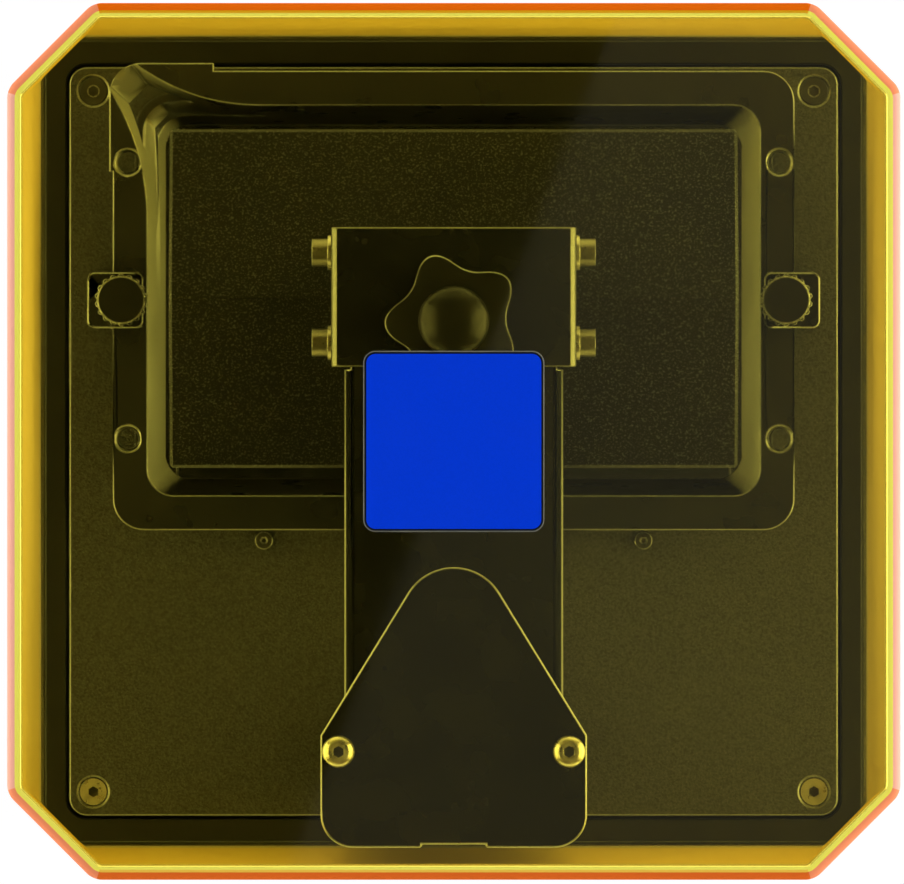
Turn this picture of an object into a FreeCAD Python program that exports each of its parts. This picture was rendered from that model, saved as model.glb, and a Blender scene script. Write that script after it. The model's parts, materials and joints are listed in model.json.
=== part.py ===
"""Desktop resin printer: amber lift-off cover, screw-driven build platform, resin vat, screen and base.

Millimetres, +Z up, origin on the table under the middle of the base. The front with the touch screen
faces -Y, the lift column stands at the back, and +X is the right-hand side for someone in front of it.
"""
import FreeCAD, Part
import math
import os
import re

import Sketcher

# Driving sizes
SIZES = {
    # base housing
    "base_width": 220.0,
    "base_depth": 216.0,
    "base_height": 129.0,
    "base_chamfer": 10.0,
    "housing_wall": 2.0,
    "housing_round": 4.0,
    "ledge_width": 11.0,
    "ledge_thick": 3.0,
    "foot_height": 5.0,
    "foot_radius": 9.0,
    "foot_inset": 26.0,
    "foot_edge": 1.2,
    "bottom_thick": 2.0,
    "bottom_gap": 0.3,
    # seat frame around the deck plate
    "rim_height": 7.0,
    "rim_side": 5.5,
    "rim_front": 6.1,
    "rim_step": 11.0,
    "rim_round": 3.0,
    "cover_gap": 0.7,
    # deck plate
    "deck_gap": 0.8,
    "deck_thick": 4.0,
    "deck_round": 4.5,
    "deck_screw_inset": 6.2,
    "flat_head_radius": 4.0,
    "flat_head_depth": 2.3,
    "bolt_radius": 2.0,
    "bolt_hole_gap": 0.25,
    "socket_flat": 2.5,
    "socket_depth": 1.6,
    # cover
    "cover_height": 269.0,
    "cover_wall": 3.0,
    "cover_top_inset": 1.5,
    "cover_top_chamfer": 21.0,
    "cover_corner_round": 5.0,
    "cover_edge_round": 2.5,
    "label_size": 44.0,
    "label_thick": 0.3,
    "label_round": 3.0,
    # exposure unit
    "screen_width": 143.0,
    "screen_depth": 92.0,
    "screen_thick": 2.6,
    "screen_proud": 0.05,
    "screen_seat": 4.0,
    "screen_gap": 0.4,
    "tunnel_wall": 1.2,
    "tunnel_height": 52.0,
    "tunnel_flange": 4.0,
    "lens_plate_thick": 1.5,
    "lens_radius": 11.0,
    "lens_rise": 4.0,
    "lens_columns": 5.0,
    "lens_rows": 3.0,
    "lens_pitch": 25.0,
    "led_board_thick": 1.6,
    "led_size": 3.5,
    "led_thick": 1.2,
    "sink_base": 5.0,
    "sink_height": 24.0,
    "sink_fin": 1.6,
    "sink_fin_count": 15.0,
    # resin vat
    "vat_width": 176.0,
    "vat_depth": 118.6,
    "vat_front_gap": 1.7,
    "vat_height": 30.0,
    "vat_rim_width": 8.9,
    "vat_taper": 4.2,
    "vat_flange_thick": 8.0,
    "vat_flange_reach": 7.5,
    "vat_outer_round": 8.0,
    "vat_inner_round": 7.0,
    "vat_lip_round": 5.0,
    "vat_lift": 0.35,
    "vat_hole_radius": 2.7,
    "vat_hole_sink": 0.8,
    "vat_hole_inset": 3.8,
    "vat_hole_spread": 35.7,
    "spout_lip": 2.0,
    "spout_side": 0.9,
    "spout_reach": 26.0,
    "spout_depth": 17.0,
    "spout_run": 28.7,
    "spout_mouth": 8.4,
    "spout_set_back": 1.9,
    "spout_throat": 3.0,
    "film_thick": 0.15,
    "film_lip": 3.0,
    "film_frame_width": 5.0,
    "film_frame_thick": 3.0,
    "clamp_size": 14.4,
    "clamp_overlap": 7.9,
    "clamp_roof": 5.0,
    "clamp_gap": 0.4,
    "clamp_round": 2.0,
    "thumb_radius": 6.8,
    "thumb_height": 9.0,
    "thumb_inset": 2.4,
    "thumb_notches": 18.0,
    "thumb_notch": 0.8,
    "thumb_edge": 0.8,
    "thumb_shank": 2.5,
    "stop_spread": 49.4,
    "stop_gap": 0.6,
    "stop_head_radius": 2.3,
    "stop_head_height": 1.6,
    "stop_shank": 1.25,
    "stop_socket": 1.5,
    "stop_socket_depth": 0.9,
    # lift column
    "column_width": 62.0,
    "column_inset": 1.0,
    "column_depth": 26.5,
    "column_sheet": 2.5,
    "column_height": 232.0,
    "foot_bolt_x": 20.0,
    "foot_bolt_inset": 13.0,
    "foot_bolt_head": 2.4,
    "cap_width": 65.2,
    "cap_thick": 2.5,
    "cap_overhang": 3.0,
    "cap_parallel": 27.5,
    "cap_nose_reach": 53.2,
    "cap_nose_round": 13.2,
    "cap_back_round": 8.0,
    "cap_screw_half": 28.2,
    "cap_screw_inset": 6.0,
    "cap_tab_width": 14.0,
    "cap_tab_depth": 12.0,
    "cap_screw_length": 6.0,
    "cap_screw_head": 2.2,
    "cap_notch": 15.6,
    "cap_notch_depth": 0.8,
    "rail_width": 12.0,
    "rail_height": 8.0,
    "rail_margin": 3.0,
    "rail_groove": 1.2,
    "rail_hole": 3.0,
    "rail_hole_depth": 4.5,
    "rail_hole_count": 9.0,
    "rail_hole_pitch": 25.0,
    "truck_width": 27.0,
    "truck_length": 45.4,
    "truck_rise": 13.0,
    "truck_clearance": 3.0,
    "truck_margin": 2.0,
    "screw_reach": 9.9,
    "screw_radius": 4.0,
    "screw_clearance": 0.05,
    "screw_grip": 22.0,
    "screw_tip": 2.5,
    "holder_radius": 11.5,
    "bearing_radius": 8.0,
    "bearing_thick": 5.0,
    "bearing_collar": 2.5,
    "motor_size": 42.3,
    "motor_length": 38.0,
    "motor_corner": 5.0,
    "motor_pilot": 11.0,
    "motor_pilot_rise": 2.0,
    "sensor_x": -21.0,
    "sensor_width": 9.0,
    "sensor_depth": 12.0,
    "sensor_height": 12.0,
    "sensor_slot": 3.4,
    "sensor_base": 4.0,
    "sensor_rise": 4.0,
    "flag_thick": 1.5,
    "flag_height": 10.0,
    # arm and platform
    "platform_gap": 1.0,
    "platform_raise": 75.0,
    "platform_width": 144.7,
    "platform_depth": 86.3,
    "platform_thick": 21.0,
    "platform_rim": 5.0,
    "platform_edge": 0.8,
    "block_width": 55.4,
    "block_depth": 31.0,
    "block_height": 19.0,
    "tilt_room": 1.0,
    "yoke_sheet": 2.6,
    "yoke_depth": 35.2,
    "yoke_slack": 0.6,
    "yoke_drop": 22.0,
    "yoke_bend": 2.0,
    "tilt_slot": 0.6,
    "arm_width": 55.3,
    "arm_sheet": 3.0,
    "arm_flange": 11.0,
    "arm_bend": 3.0,
    "arm_tongue_inset": 1.6,
    "arm_step": 0.5,
    "arm_drop": 34.0,
    "arm_clear": 6.0,
    "arm_bolt_x": 18.0,
    "arm_bolt_high": 10.0,
    "arm_bolt_low": 27.0,
    "carriage_sheet": 6.0,
    "carriage_gap": 1.5,
    "carriage_below": 40.0,
    "carriage_above": 14.0,
    "side_bolt_half": 11.4,
    "side_head_radius": 3.5,
    "side_head_height": 4.0,
    "side_bolt_length": 14.0,
    "washer_radius": 4.4,
    "washer_thick": 0.9,
    "nut_flange_radius": 11.0,
    "nut_flange_thick": 3.5,
    "nut_radius": 5.1,
    "nut_length": 14.0,
    "knob_radius": 17.5,
    "knob_thick": 9.0,
    "knob_scallop": 13.5,
    "knob_scallop_reach": 26.9,
    "knob_lobes": 5.0,
    "knob_turned": 34.0,
    "knob_edge": 1.5,
    "knob_dome": 8.8,
    "knob_dome_rise": 6.0,
    "knob_boss": 7.0,
    "knob_boss_height": 3.0,
    "knob_stud": 3.0,
    "knob_offset": 6.2,
    # electronics and panel fittings
    "display_width": 88.0,
    "display_height": 58.0,
    "display_z": 74.0,
    "display_glass": 1.8,
    "display_depth": 7.0,
    "display_gap": 0.3,
    "display_border": 4.0,
    "board_width": 130.0,
    "board_depth": 84.0,
    "board_thick": 1.6,
    "board_back": 18.0,
    "standoff_height": 8.0,
    "standoff_radius": 3.0,
    "standoff_inset": 5.0,
    "chip_size": 22.0,
    "chip_height": 2.4,
    "driver_size": 16.0,
    "driver_height": 6.0,
    "plug_width": 16.0,
    "plug_depth": 8.0,
    "plug_height": 9.0,
    "fan_size": 60.0,
    "fan_thick": 15.0,
    "fan_inset": 62.0,
    "fan_z": 62.0,
    "fan_hub": 13.0,
    "fan_frame": 1.5,
    "fan_rib": 1.0,
    "fan_blades": 7.0,
    "fan_tip_gap": 1.0,
    "fan_strut": 3.0,
    "fan_pin": 2.0,
    "fan_pin_length": 8.0,
    "fan_chord": 14.0,
    "fan_blade_inset": 1.5,
    "fan_blade_thick": 1.6,
    "grille_slot": 4.0,
    "grille_pitch": 7.5,
    "inlet_inset": 58.0,
    "inlet_z": 40.0,
    "inlet_size": 12.0,
    "inlet_bore": 3.2,
    "inlet_pin": 1.2,
    "inlet_depth": 12.0,
    "inlet_collar": 1.6,
    "switch_z": 66.0,
    "switch_width": 13.0,
    "switch_height": 19.0,
    "switch_depth": 14.0,
    "switch_flange": 2.0,
    "switch_flange_thick": 1.2,
    "switch_wall": 1.2,
    "rocker_radius": 7.6,
    "rocker_depth": 5.0,
    "rocker_rise": 4.6,
    "rocker_angle": 8.0,
    "panel_thick": 2.0,
    "panel_margin": 6.0,
    "panel_window": 24.0,
    "usb_inset": 38.0,
    "usb_z": 50.0,
    "usb_width": 13.2,
    "usb_height": 6.0,
    "usb_depth": 14.0,
    "usb_wall": 0.4,
    "usb_tongue": 1.8,
    "usb_tongue_rise": 0.9,
    "usb_board_reach": 18.0,
    "vent_slot": 3.0,
    "vent_height": 44.0,
    "vent_pitch": 8.0,
    "vent_count": 11.0,
    "vent_z": 70.0,
    "vent_inset": 88.0,
    "running_gap": 0.3,
    "fit_gap": 0.05,
    "turn_gap": 0.1,
}

# Sizes worked out from the driving ones
PLACES = {
    "corner_loss": "2 - sqrt(2)",
    "ledge": "foot_height + base_height",
    "deck": "ledge + rim_height",
    "deck_under": "deck - deck_thick",
    "wall_x": "base_width / 2 - housing_wall",
    "wall_y": "base_depth / 2 - housing_wall",
    "rim_offset": "cover_wall + cover_gap",
    "rim_width": "base_width - 2 * rim_offset",
    "rim_depth": "base_depth - 2 * rim_offset",
    "deck_width": "rim_width - 2 * (rim_side + deck_gap)",
    "deck_depth": "rim_depth - 2 * (rim_front + deck_gap)",
    "deck_screw_x": "deck_width / 2 - deck_screw_inset",
    "deck_screw_y": "deck_depth / 2 - deck_screw_inset",
    "cover_top": "ledge + cover_height",
    "work_y": "vat_front_gap + vat_depth / 2 - deck_depth / 2",
    "window_x": "screen_width / 2 - screen_seat",
    "window_y": "screen_depth / 2 - screen_seat",
    "tunnel_foot": "deck_under - tunnel_height",
    "sink_top": "tunnel_foot - led_board_thick",
    "light_x": "window_x + tunnel_wall + tunnel_flange",
    "light_y": "window_y + tunnel_wall + tunnel_flange",
    "vat_floor": "deck + vat_lift",
    "vat_top": "vat_floor + vat_height",
    "vat_front": "work_y - vat_depth / 2",
    "vat_back": "work_y + vat_depth / 2",
    "vat_wall_x": "vat_width / 2 - vat_flange_reach",
    "vat_wall_y": "vat_depth / 2 - vat_flange_reach",
    "mouth_x": "vat_width / 2 - vat_rim_width",
    "mouth_y": "vat_depth / 2 - vat_rim_width",
    "floor_x": "mouth_x - vat_taper",
    "floor_y": "mouth_y - vat_taper",
    "film_x": "floor_x + film_lip",
    "film_y": "floor_y + film_lip",
    "frame_x": "film_x + fit_gap",
    "frame_y": "film_y + fit_gap",
    "clamp_in": "vat_width / 2 - clamp_overlap",
    "clamp_out": "clamp_in + clamp_size",
    "clamp_under": "vat_top + clamp_gap",
    "clamp_top": "clamp_under + clamp_roof",
    "thumb_x": "vat_width / 2 - thumb_inset",
    "stop_y": "vat_back + stop_head_radius + stop_gap",
    "column_back": "deck_depth / 2 - column_inset",
    "column_face": "column_back - column_sheet",
    "column_front": "column_back - column_depth",
    "column_top": "deck + column_height",
    "screw_y": "column_front - screw_reach",
    "foot_bolt_y": "column_back - foot_bolt_inset",
    "cap_back": "column_back + cap_overhang",
    "cap_screw_y": "column_front + cap_screw_inset",
    "cap_top": "column_top + cap_thick",
    "rail_face": "column_face - rail_height",
    "truck_back": "column_face - truck_clearance",
    "truck_front": "column_face - truck_rise",
    "carriage_front": "truck_front - carriage_sheet",
    "carriage_half": "column_width / 2 - column_sheet - carriage_gap",
    "arm_back": "carriage_front - arm_sheet",
    "platform_under": "vat_floor + platform_gap + platform_raise",
    "platform_top": "platform_under + platform_thick",
    "block_top": "platform_top + block_height",
    "pivot_z": "platform_top + block_height / 2",
    "arm_under": "block_top + tilt_room",
    "arm_top": "arm_under + arm_sheet",
    "yoke_top": "arm_top + yoke_sheet",
    "yoke_in": "block_width / 2 + yoke_slack",
    "yoke_out": "yoke_in + yoke_sheet",
    "yoke_front": "work_y - yoke_depth / 2",
    "yoke_back": "work_y + yoke_depth / 2",
    "knob_y": "work_y + knob_offset",
    "knob_under": "yoke_top + turn_gap",
    "knob_face": "knob_under + knob_boss_height",
    "tongue_half": "arm_width / 2 - arm_tongue_inset",
    "truck_foot": "arm_top - carriage_below + truck_margin",
    "motor_foot": "deck_under - motor_length",
    "sensor_z": "deck + column_sheet + sensor_rise",
    "bearing_foot": "column_top - bearing_collar - bearing_thick",
    "panel_face": "wall_y - panel_thick",
    "board_top": "foot_height + bottom_thick + standoff_height + board_thick",
    "board_y": "wall_y - board_back - board_depth / 2",
    "fan_x": "fan_inset - base_width / 2",
    "fan_front": "wall_y - fan_thick",
    "fan_bore": "fan_size / 2 - fan_frame",
    "fan_ring": "fan_bore - fan_rib",
    "fan_boss": "fan_hub - fan_rib",
    "inlet_x": "base_width / 2 - inlet_inset",
    "switch_pivot": "wall_y - rocker_depth",
    "usb_y": "usb_inset - base_depth / 2",
    "vent_y": "vent_inset - base_depth / 2",
}

NAME = re.compile(r"[a-z][a-z_]*")
PLANE_ROLES = {"XY": "XY_Plane", "XZ": "XZ_Plane", "YZ": "YZ_Plane"}

doc = FreeCAD.newDocument("resin_printer")
sheet = doc.addObject("Spreadsheet::Sheet", "Sizes")
for row, alias in enumerate([*SIZES, *PLACES], 1):
    sheet.setAlias(f"A{row}", alias)
    sheet.set(alias, str(SIZES[alias]) if alias in SIZES else f"={PLACES[alias]}")
doc.recompute()
nodes = []


def bound(text):
    """Writes a size given in plain names as an expression on the sheet's cells."""

    def cell(found):
        name = found.group()
        return f"Sizes.{name}" if name in SIZES or name in PLACES else name

    return NAME.sub(cell, str(text))


def mm(name):
    """A size read back from the sheet."""
    return float(sheet.get(name))


def count(name):
    return int(round(mm(name)))


def node(thing, name):
    """Marks an object of the document as a finished sub-part."""
    thing.Label = name
    nodes.append(thing)
    return thing


def new_body(name):
    return doc.addObject("PartDesign::Body", name)


def new_sketch(body, plane, level=0, across=0, up=0):
    """A sketch on one of the body's own planes, moved along its normal and, if asked, within the plane.

    XY looks down -Z. XZ faces -Y, so its level is measured towards the front. YZ faces +X."""
    sketch = body.newObject("Sketcher::SketchObject", "Sketch")
    datum = [f for f in body.Origin.OriginFeatures if f.Role == PLANE_ROLES[plane]][0]
    sketch.AttachmentSupport = [(datum, "")]
    sketch.MapMode = "FlatFace"
    for axis, text in (("x", across), ("y", up), ("z", level)):
        sketch.setExpression(f"AttachmentOffset.Base.{axis}", bound(text))
    return sketch


def polygon(sketch, points):
    """A closed outline whose corners are held by expressions."""
    first = sketch.GeometryCount
    total = len(points)
    ring = [math.tau * i / total for i in range(total)]
    start = [FreeCAD.Vector(10 * math.cos(a), 10 * math.sin(a), 0) for a in ring]
    for i in range(total):
        sketch.addGeometry(Part.LineSegment(start[i], start[(i + 1) % total]), False)
    for i in range(total):
        sketch.addConstraint(Sketcher.Constraint("Coincident", first + i, 2, first + (i + 1) % total, 1))
    for i, corner in enumerate(points):
        for kind, text in zip(("DistanceX", "DistanceY"), corner):
            hold(sketch, Sketcher.Constraint(kind, -1, 1, first + i, 1, 1.0), text)


def hold(sketch, constraint, text):
    index = sketch.addConstraint(constraint)
    sketch.setExpression(f"Constraints[{index}]", bound(text))


def rectangle(sketch, x, y):
    """A rectangle from x[0] to x[1] and y[0] to y[1]."""
    polygon(sketch, [(x[0], y[0]), (x[1], y[0]), (x[1], y[1]), (x[0], y[1])])


def about(middle, half):
    """The two ends of a span that reaches half to either side of middle."""
    return f"{middle} - ({half})", f"{middle} + {half}"


def centred(sketch, half_x, half_y, middle_x=0, middle_y=0):
    rectangle(sketch, about(middle_x, half_x), about(middle_y, half_y))


def octagon(sketch, width, depth, leg):
    """A rectangle about the origin with its four corners cut off."""
    x, y = f"({width}) / 2", f"({depth}) / 2"
    quarter = [(f"{x} - ({leg})", y), (x, f"{y} - ({leg})")]
    right = quarter + [(a, f"-({b})") for a, b in reversed(quarter)]
    polygon(sketch, right + [(f"-({a})", b) for a, b in reversed(right)])


def circle(sketch, x, y, radius):
    index = sketch.addGeometry(Part.Circle(FreeCAD.Vector(0, 0, 0), FreeCAD.Vector(0, 0, 1), 5.0), False)
    hold(sketch, Sketcher.Constraint("DistanceX", -1, 1, index, 3, 1.0), x)
    hold(sketch, Sketcher.Constraint("DistanceY", -1, 1, index, 3, 1.0), y)
    hold(sketch, Sketcher.Constraint("Radius", index, 5.0), radius)


def feature(body, kind, sketch, length=None):
    made = body.newObject(f"PartDesign::{kind}", kind)
    made.Profile = sketch
    if length is not None:
        made.setExpression("Length", bound(length))
    return made


def pad(body, sketch, length, backwards=False):
    made = feature(body, "Pad", sketch, length)
    made.Reversed = backwards
    return made


def cut(body, sketch, length, forwards=False):
    """Removes material against the sketch's normal, or along it when forwards."""
    made = feature(body, "Pocket", sketch, length)
    made.Reversed = forwards
    return made


def turn(body, sketch, remove=False):
    """Turns an outline about the sketch's vertical axis."""
    made = feature(body, "Groove" if remove else "Revolution", sketch)
    made.ReferenceAxis = (sketch, ["V_Axis"])
    made.Angle = 360.0
    return made


def rounded(body, radius, chosen, kind="Fillet"):
    """Rounds or chamfers the edges of the body so far for which chosen(edge) holds."""
    doc.recompute()
    base = body.Tip
    names = [f"Edge{i}" for i, edge in enumerate(base.Shape.Edges, 1) if chosen(edge)]
    made = body.newObject(f"PartDesign::{kind}", kind)
    made.Base = (base, names)
    made.setExpression("Radius" if kind == "Fillet" else "Size", bound(radius))
    return made


def upright(edge, slack=0.2):
    """True for a straight edge that runs up and down, or nearly."""
    run = edge.Vertexes[-1].Point - edge.Vertexes[0].Point
    return run.Length > 0 and abs(run.z) > (1 - slack) * run.Length and len(edge.Vertexes) == 2


def over(sketch):
    """Chooses the upright edges that stand on the corners of a sketch."""
    doc.recompute()
    marks = [corner.Point for corner in sketch.Shape.Vertexes]

    def chosen(edge):
        middle = edge.CenterOfMass
        return upright(edge) and any(math.hypot(middle.x - m.x, middle.y - m.y) < 1e-4 for m in marks)

    return chosen


def level_at(edge, height):
    box = edge.BoundBox
    return abs(box.ZMin - height) < 1e-4 and abs(box.ZMax - height) < 1e-4


def repeat(body, source, kind, axis, reach, times, reach_name="Length"):
    """Repeats one feature in a row or round an axis, and makes the pattern the body's tip."""
    made = body.newObject(f"PartDesign::{kind}", kind)
    made.Originals = [source]
    if kind == "LinearPattern":
        made.Direction = axis
    else:
        made.Axis = axis
    made.Occurrences = times
    if reach is not None:
        made.setExpression(reach_name, bound(reach))
    body.Tip = made
    return made


def block(body, x, y, z):
    sketch = new_sketch(body, "XY", z[0])
    rectangle(sketch, x, y)
    return pad(body, sketch, f"({z[1]}) - ({z[0]})")


def cut_block(body, x, y, z):
    sketch = new_sketch(body, "XY", z[1])
    rectangle(sketch, x, y)
    return cut(body, sketch, f"({z[1]}) - ({z[0]})")


def disc(body, x, y, radius, z):
    sketch = new_sketch(body, "XY", z[0])
    circle(sketch, x, y, radius)
    return pad(body, sketch, f"({z[1]}) - ({z[0]})")


def cut_disc(body, places, radius, z):
    sketch = new_sketch(body, "XY", z[1])
    for x, y in places:
        circle(sketch, x, y, radius)
    return cut(body, sketch, f"({z[1]}) - ({z[0]})")


def corners(x, y):
    return [(f"{i} * ({x})", f"{j} * ({y})") for i in (-1, 1) for j in (-1, 1)]


def group(name, bodies):
    """Several separate solids that share one node."""
    made = doc.addObject("Part::Compound", name)
    made.Links = bodies
    return node(made, name)


def flat_screw(name, x, y, top, length):
    """A countersunk screw with a hexagon socket, its head flush with top."""
    body = new_body(name)
    sketch = new_sketch(body, "XZ", f"-({y})", x, top)
    polygon(sketch, [(0, 0), ("flat_head_radius", 0), ("bolt_radius", "-flat_head_depth"),
                     ("bolt_radius", f"-({length})"), (0, f"-({length})")])
    turn(body, sketch)
    cut_socket(body, x, y, top)
    return body


def cap_screw(name, x, y, seat, head_radius, head_height, shank, length,
              key=("socket_flat", "socket_depth")):
    """A cylinder-head screw standing on seat, with its shank going down."""
    body = new_body(name)
    disc(body, x, y, head_radius, (seat, f"{seat} + {head_height}"))
    disc(body, x, y, shank, (f"{seat} - ({length})", seat))
    cut_socket(body, x, y, f"{seat} + {head_height}", *key)
    return body


def cut_socket(body, x, y, top, flat="socket_flat", deep="socket_depth"):
    sketch = new_sketch(body, "XY", top)
    hexagon(sketch, x, y, flat)
    cut(body, sketch, deep)


def hexagon(sketch, x, y, flat):
    """A hexagon given by the distance across its flats."""
    half = [(f"{flat} / sqrt(3)", "0"), (f"{flat} / sqrt(12)", f"{flat} / 2"),
            (f"-{flat} / sqrt(12)", f"{flat} / 2")]
    ring = half + [(f"-({a})", f"-({b})") for a, b in half]
    polygon(sketch, [(f"{x} + ({a})", f"{y} + ({b})") for a, b in ring])


# Base: housing, bottom plate and feet
housing = new_body("Housing")
outline = new_sketch(housing, "XY", "foot_height")
octagon(outline, "base_width", "base_depth", "base_chamfer")
pad(housing, outline, "base_height")
rounded(housing, "housing_round", upright)
room = new_sketch(housing, "XY", "ledge - ledge_thick")
octagon(room, "2 * wall_x", "2 * wall_y", "base_chamfer - housing_wall * corner_loss")
cut(housing, room, "base_height - ledge_thick")
well = new_sketch(housing, "XY", "ledge")
octagon(well, "base_width - 2 * ledge_width", "base_depth - 2 * ledge_width",
        "base_chamfer - ledge_width * corner_loss")
cut(housing, well, "ledge_thick")
window = new_sketch(housing, "XZ", "base_depth / 2")
centred(window, "display_width / 2", "display_height / 2", 0, "display_z")
cut(housing, window, "2 * housing_wall")
io_window = new_sketch(housing, "XZ", "-wall_y + housing_wall")
rectangle(io_window, ("inlet_x - panel_window / 2", "inlet_x + panel_window / 2"),
          ("inlet_z - panel_window / 2", "switch_z + panel_window / 2"))
cut(housing, io_window, "3 * housing_wall")
grille = new_sketch(housing, "XZ", "-wall_y + housing_wall")
for i in range(-3, 4):
    middle = f"{i} * grille_pitch"
    half = f"sqrt(fan_bore * fan_bore - {i * i} * grille_pitch * grille_pitch) - fan_rib"
    centred(grille, half, "grille_slot / 2", "fan_x", f"fan_z + {middle}")
cut(housing, grille, "3 * housing_wall")
usb_hole = new_sketch(housing, "YZ", "base_width / 2")
centred(usb_hole, "usb_width / 2 + running_gap", "usb_height / 2 + running_gap", "usb_y", "usb_z")
cut(housing, usb_hole, "2 * housing_wall")
vent = new_sketch(housing, "YZ", "base_width / 2")
rectangle(vent, ("vent_y", "vent_y + vent_slot"), ("vent_z - vent_height / 2", "vent_z + vent_height / 2"))
vent_cut = cut(housing, vent, "base_width")
repeat(housing, vent_cut, "LinearPattern", (vent, ["H_Axis"]), "vent_pitch * (vent_count - 1)",
       count("vent_count"))
node(housing, "base_housing")

bottom = new_body("Bottom")
outline = new_sketch(bottom, "XY", "foot_height")
octagon(outline, "2 * (wall_x - bottom_gap)", "2 * (wall_y - bottom_gap)",
        "base_chamfer - (housing_wall + bottom_gap) * corner_loss")
pad(bottom, outline, "bottom_thick")
node(bottom, "bottom_plate")

feet = []
for x, y in corners("base_width / 2 - foot_inset", "base_depth / 2 - foot_inset"):
    foot = new_body("Foot")
    disc(foot, x, y, "foot_radius", ("0", "foot_height"))
    rounded(foot, "foot_edge", lambda edge: level_at(edge, 0))
    feet.append(foot)
group("rubber_feet", feet)

# Seat frame and deck plate
frame = new_body("SeatFrame")
outline = new_sketch(frame, "XY", "ledge")
octagon(outline, "rim_width", "rim_depth", "base_chamfer - rim_offset * corner_loss")
pad(frame, outline, "rim_height")
rounded(frame, "rim_round", upright)
seat = new_sketch(frame, "XY", "deck")
centred(seat, "deck_width / 2 + deck_gap", "deck_depth / 2 + deck_gap")
cut(frame, seat, "deck_thick")
rounded(frame, "deck_round + deck_gap", over(seat))
cut_block(frame, ("rim_step - deck_width / 2", "deck_width / 2 - rim_step"),
          ("rim_step - deck_depth / 2", "deck_depth / 2 - rim_step"), ("ledge", "deck"))
cut_disc(frame, corners("deck_screw_x", "deck_screw_y"), "bolt_radius + fit_gap", ("ledge", "deck_under"))
node(frame, "cover_seat_frame")

deck = new_body("Deck")
block(deck, about(0, "deck_width / 2"), about(0, "deck_depth / 2"), ("deck_under", "deck"))
rounded(deck, "deck_round", upright)
cut_block(deck, ("-screen_width / 2 - screen_gap", "screen_width / 2 + screen_gap"),
          ("work_y - screen_depth / 2 - screen_gap", "work_y + screen_depth / 2 + screen_gap"),
          ("deck + screen_proud - screen_thick", "deck"))
cut_block(deck, about(0, "window_x"), about("work_y", "window_y"), ("deck_under", "deck"))
cut_disc(deck, [("0", "screw_y")], "motor_pilot + running_gap", ("deck_under", "deck"))
cut_disc(deck, corners("deck_screw_x", "deck_screw_y"), "bolt_radius + bolt_hole_gap",
         ("deck_under", "deck"))
for x, y in corners("deck_screw_x", "deck_screw_y"):
    sink = new_sketch(deck, "XZ", f"-({y})", x, "deck")
    polygon(sink, [(0, 0), ("flat_head_radius + fit_gap", 0),
                   ("bolt_radius + fit_gap", "-flat_head_depth"), (0, "-flat_head_depth")])
    turn(deck, sink, remove=True)
cut_disc(deck, [("-stop_spread", "stop_y"), ("stop_spread", "stop_y")], "stop_shank + fit_gap",
         ("deck_under", "deck"))
cut_disc(deck, [("-foot_bolt_x", "foot_bolt_y"), ("foot_bolt_x", "foot_bolt_y")], "bolt_radius + fit_gap",
         ("deck_under", "deck"))
node(deck, "deck_plate")
group("deck_screws", [flat_screw("DeckScrew", x, y, "deck", "deck_thick + rim_height - deck_thick")
                      for x, y in corners("deck_screw_x", "deck_screw_y")])
group("vat_stop_screws", [
    cap_screw("StopScrew", f"{side} * stop_spread", "stop_y", "deck", "stop_head_radius", "stop_head_height",
              "stop_shank", "deck_thick", ("stop_socket", "stop_socket_depth")) for side in (-1, 1)])

# Exposure unit under the deck
screen = new_body("Screen")
block(screen, ("-screen_width / 2", "screen_width / 2"),
      ("work_y - screen_depth / 2", "work_y + screen_depth / 2"),
      ("deck + screen_proud - screen_thick", "deck + screen_proud"))
node(screen, "lcd_panel")

tunnel = new_body("Tunnel")
block(tunnel, ("-window_x - tunnel_wall", "window_x + tunnel_wall"),
      ("work_y - window_y - tunnel_wall", "work_y + window_y + tunnel_wall"), ("tunnel_foot", "deck_under"))
for low, high in (("deck_under - tunnel_wall", "deck_under"), ("tunnel_foot", "tunnel_foot + tunnel_wall")):
    block(tunnel, ("-light_x", "light_x"), ("work_y - light_y", "work_y + light_y"), (low, high))
cut_block(tunnel, ("-window_x", "window_x"), ("work_y - window_y", "work_y + window_y"),
          ("tunnel_foot", "deck_under"))
node(tunnel, "light_tunnel")

led_board = new_body("LedBoard")
block(led_board, about(0, "light_x"), about("work_y", "light_y"), ("sink_top", "tunnel_foot"))
node(led_board, "led_board")

lamp_places = [(f"({i} - (lens_columns - 1) / 2) * lens_pitch",
                f"work_y + ({j} - (lens_rows - 1) / 2) * lens_pitch")
               for i in range(count("lens_columns")) for j in range(count("lens_rows"))]
leds = []
for x, y in lamp_places:
    led = new_body("Led")
    sketch = new_sketch(led, "XY", "tunnel_foot")
    centred(sketch, "led_size / 2", "led_size / 2", x, y)
    pad(led, sketch, "led_thick")
    leds.append(led)
group("led_chips", leds)

lens = new_body("Lens")
block(lens, about(0, "(window_x - fit_gap)"), about("work_y", "(window_y - fit_gap)"),
      ("tunnel_foot + led_thick", "tunnel_foot + led_thick + lens_plate_thick"))
sketch = new_sketch(lens, "XY", "tunnel_foot + led_thick + lens_plate_thick")
for x, y in lamp_places:
    circle(sketch, x, y, "lens_radius")
pad(lens, sketch, "lens_rise")
doc.recompute()
lens_foot = sketch.Placement.Base.z
rounded(lens, "lens_rise - fit_gap", lambda edge: edge.BoundBox.ZMin > lens_foot + mm("fit_gap"))
node(lens, "lens_array")

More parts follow.
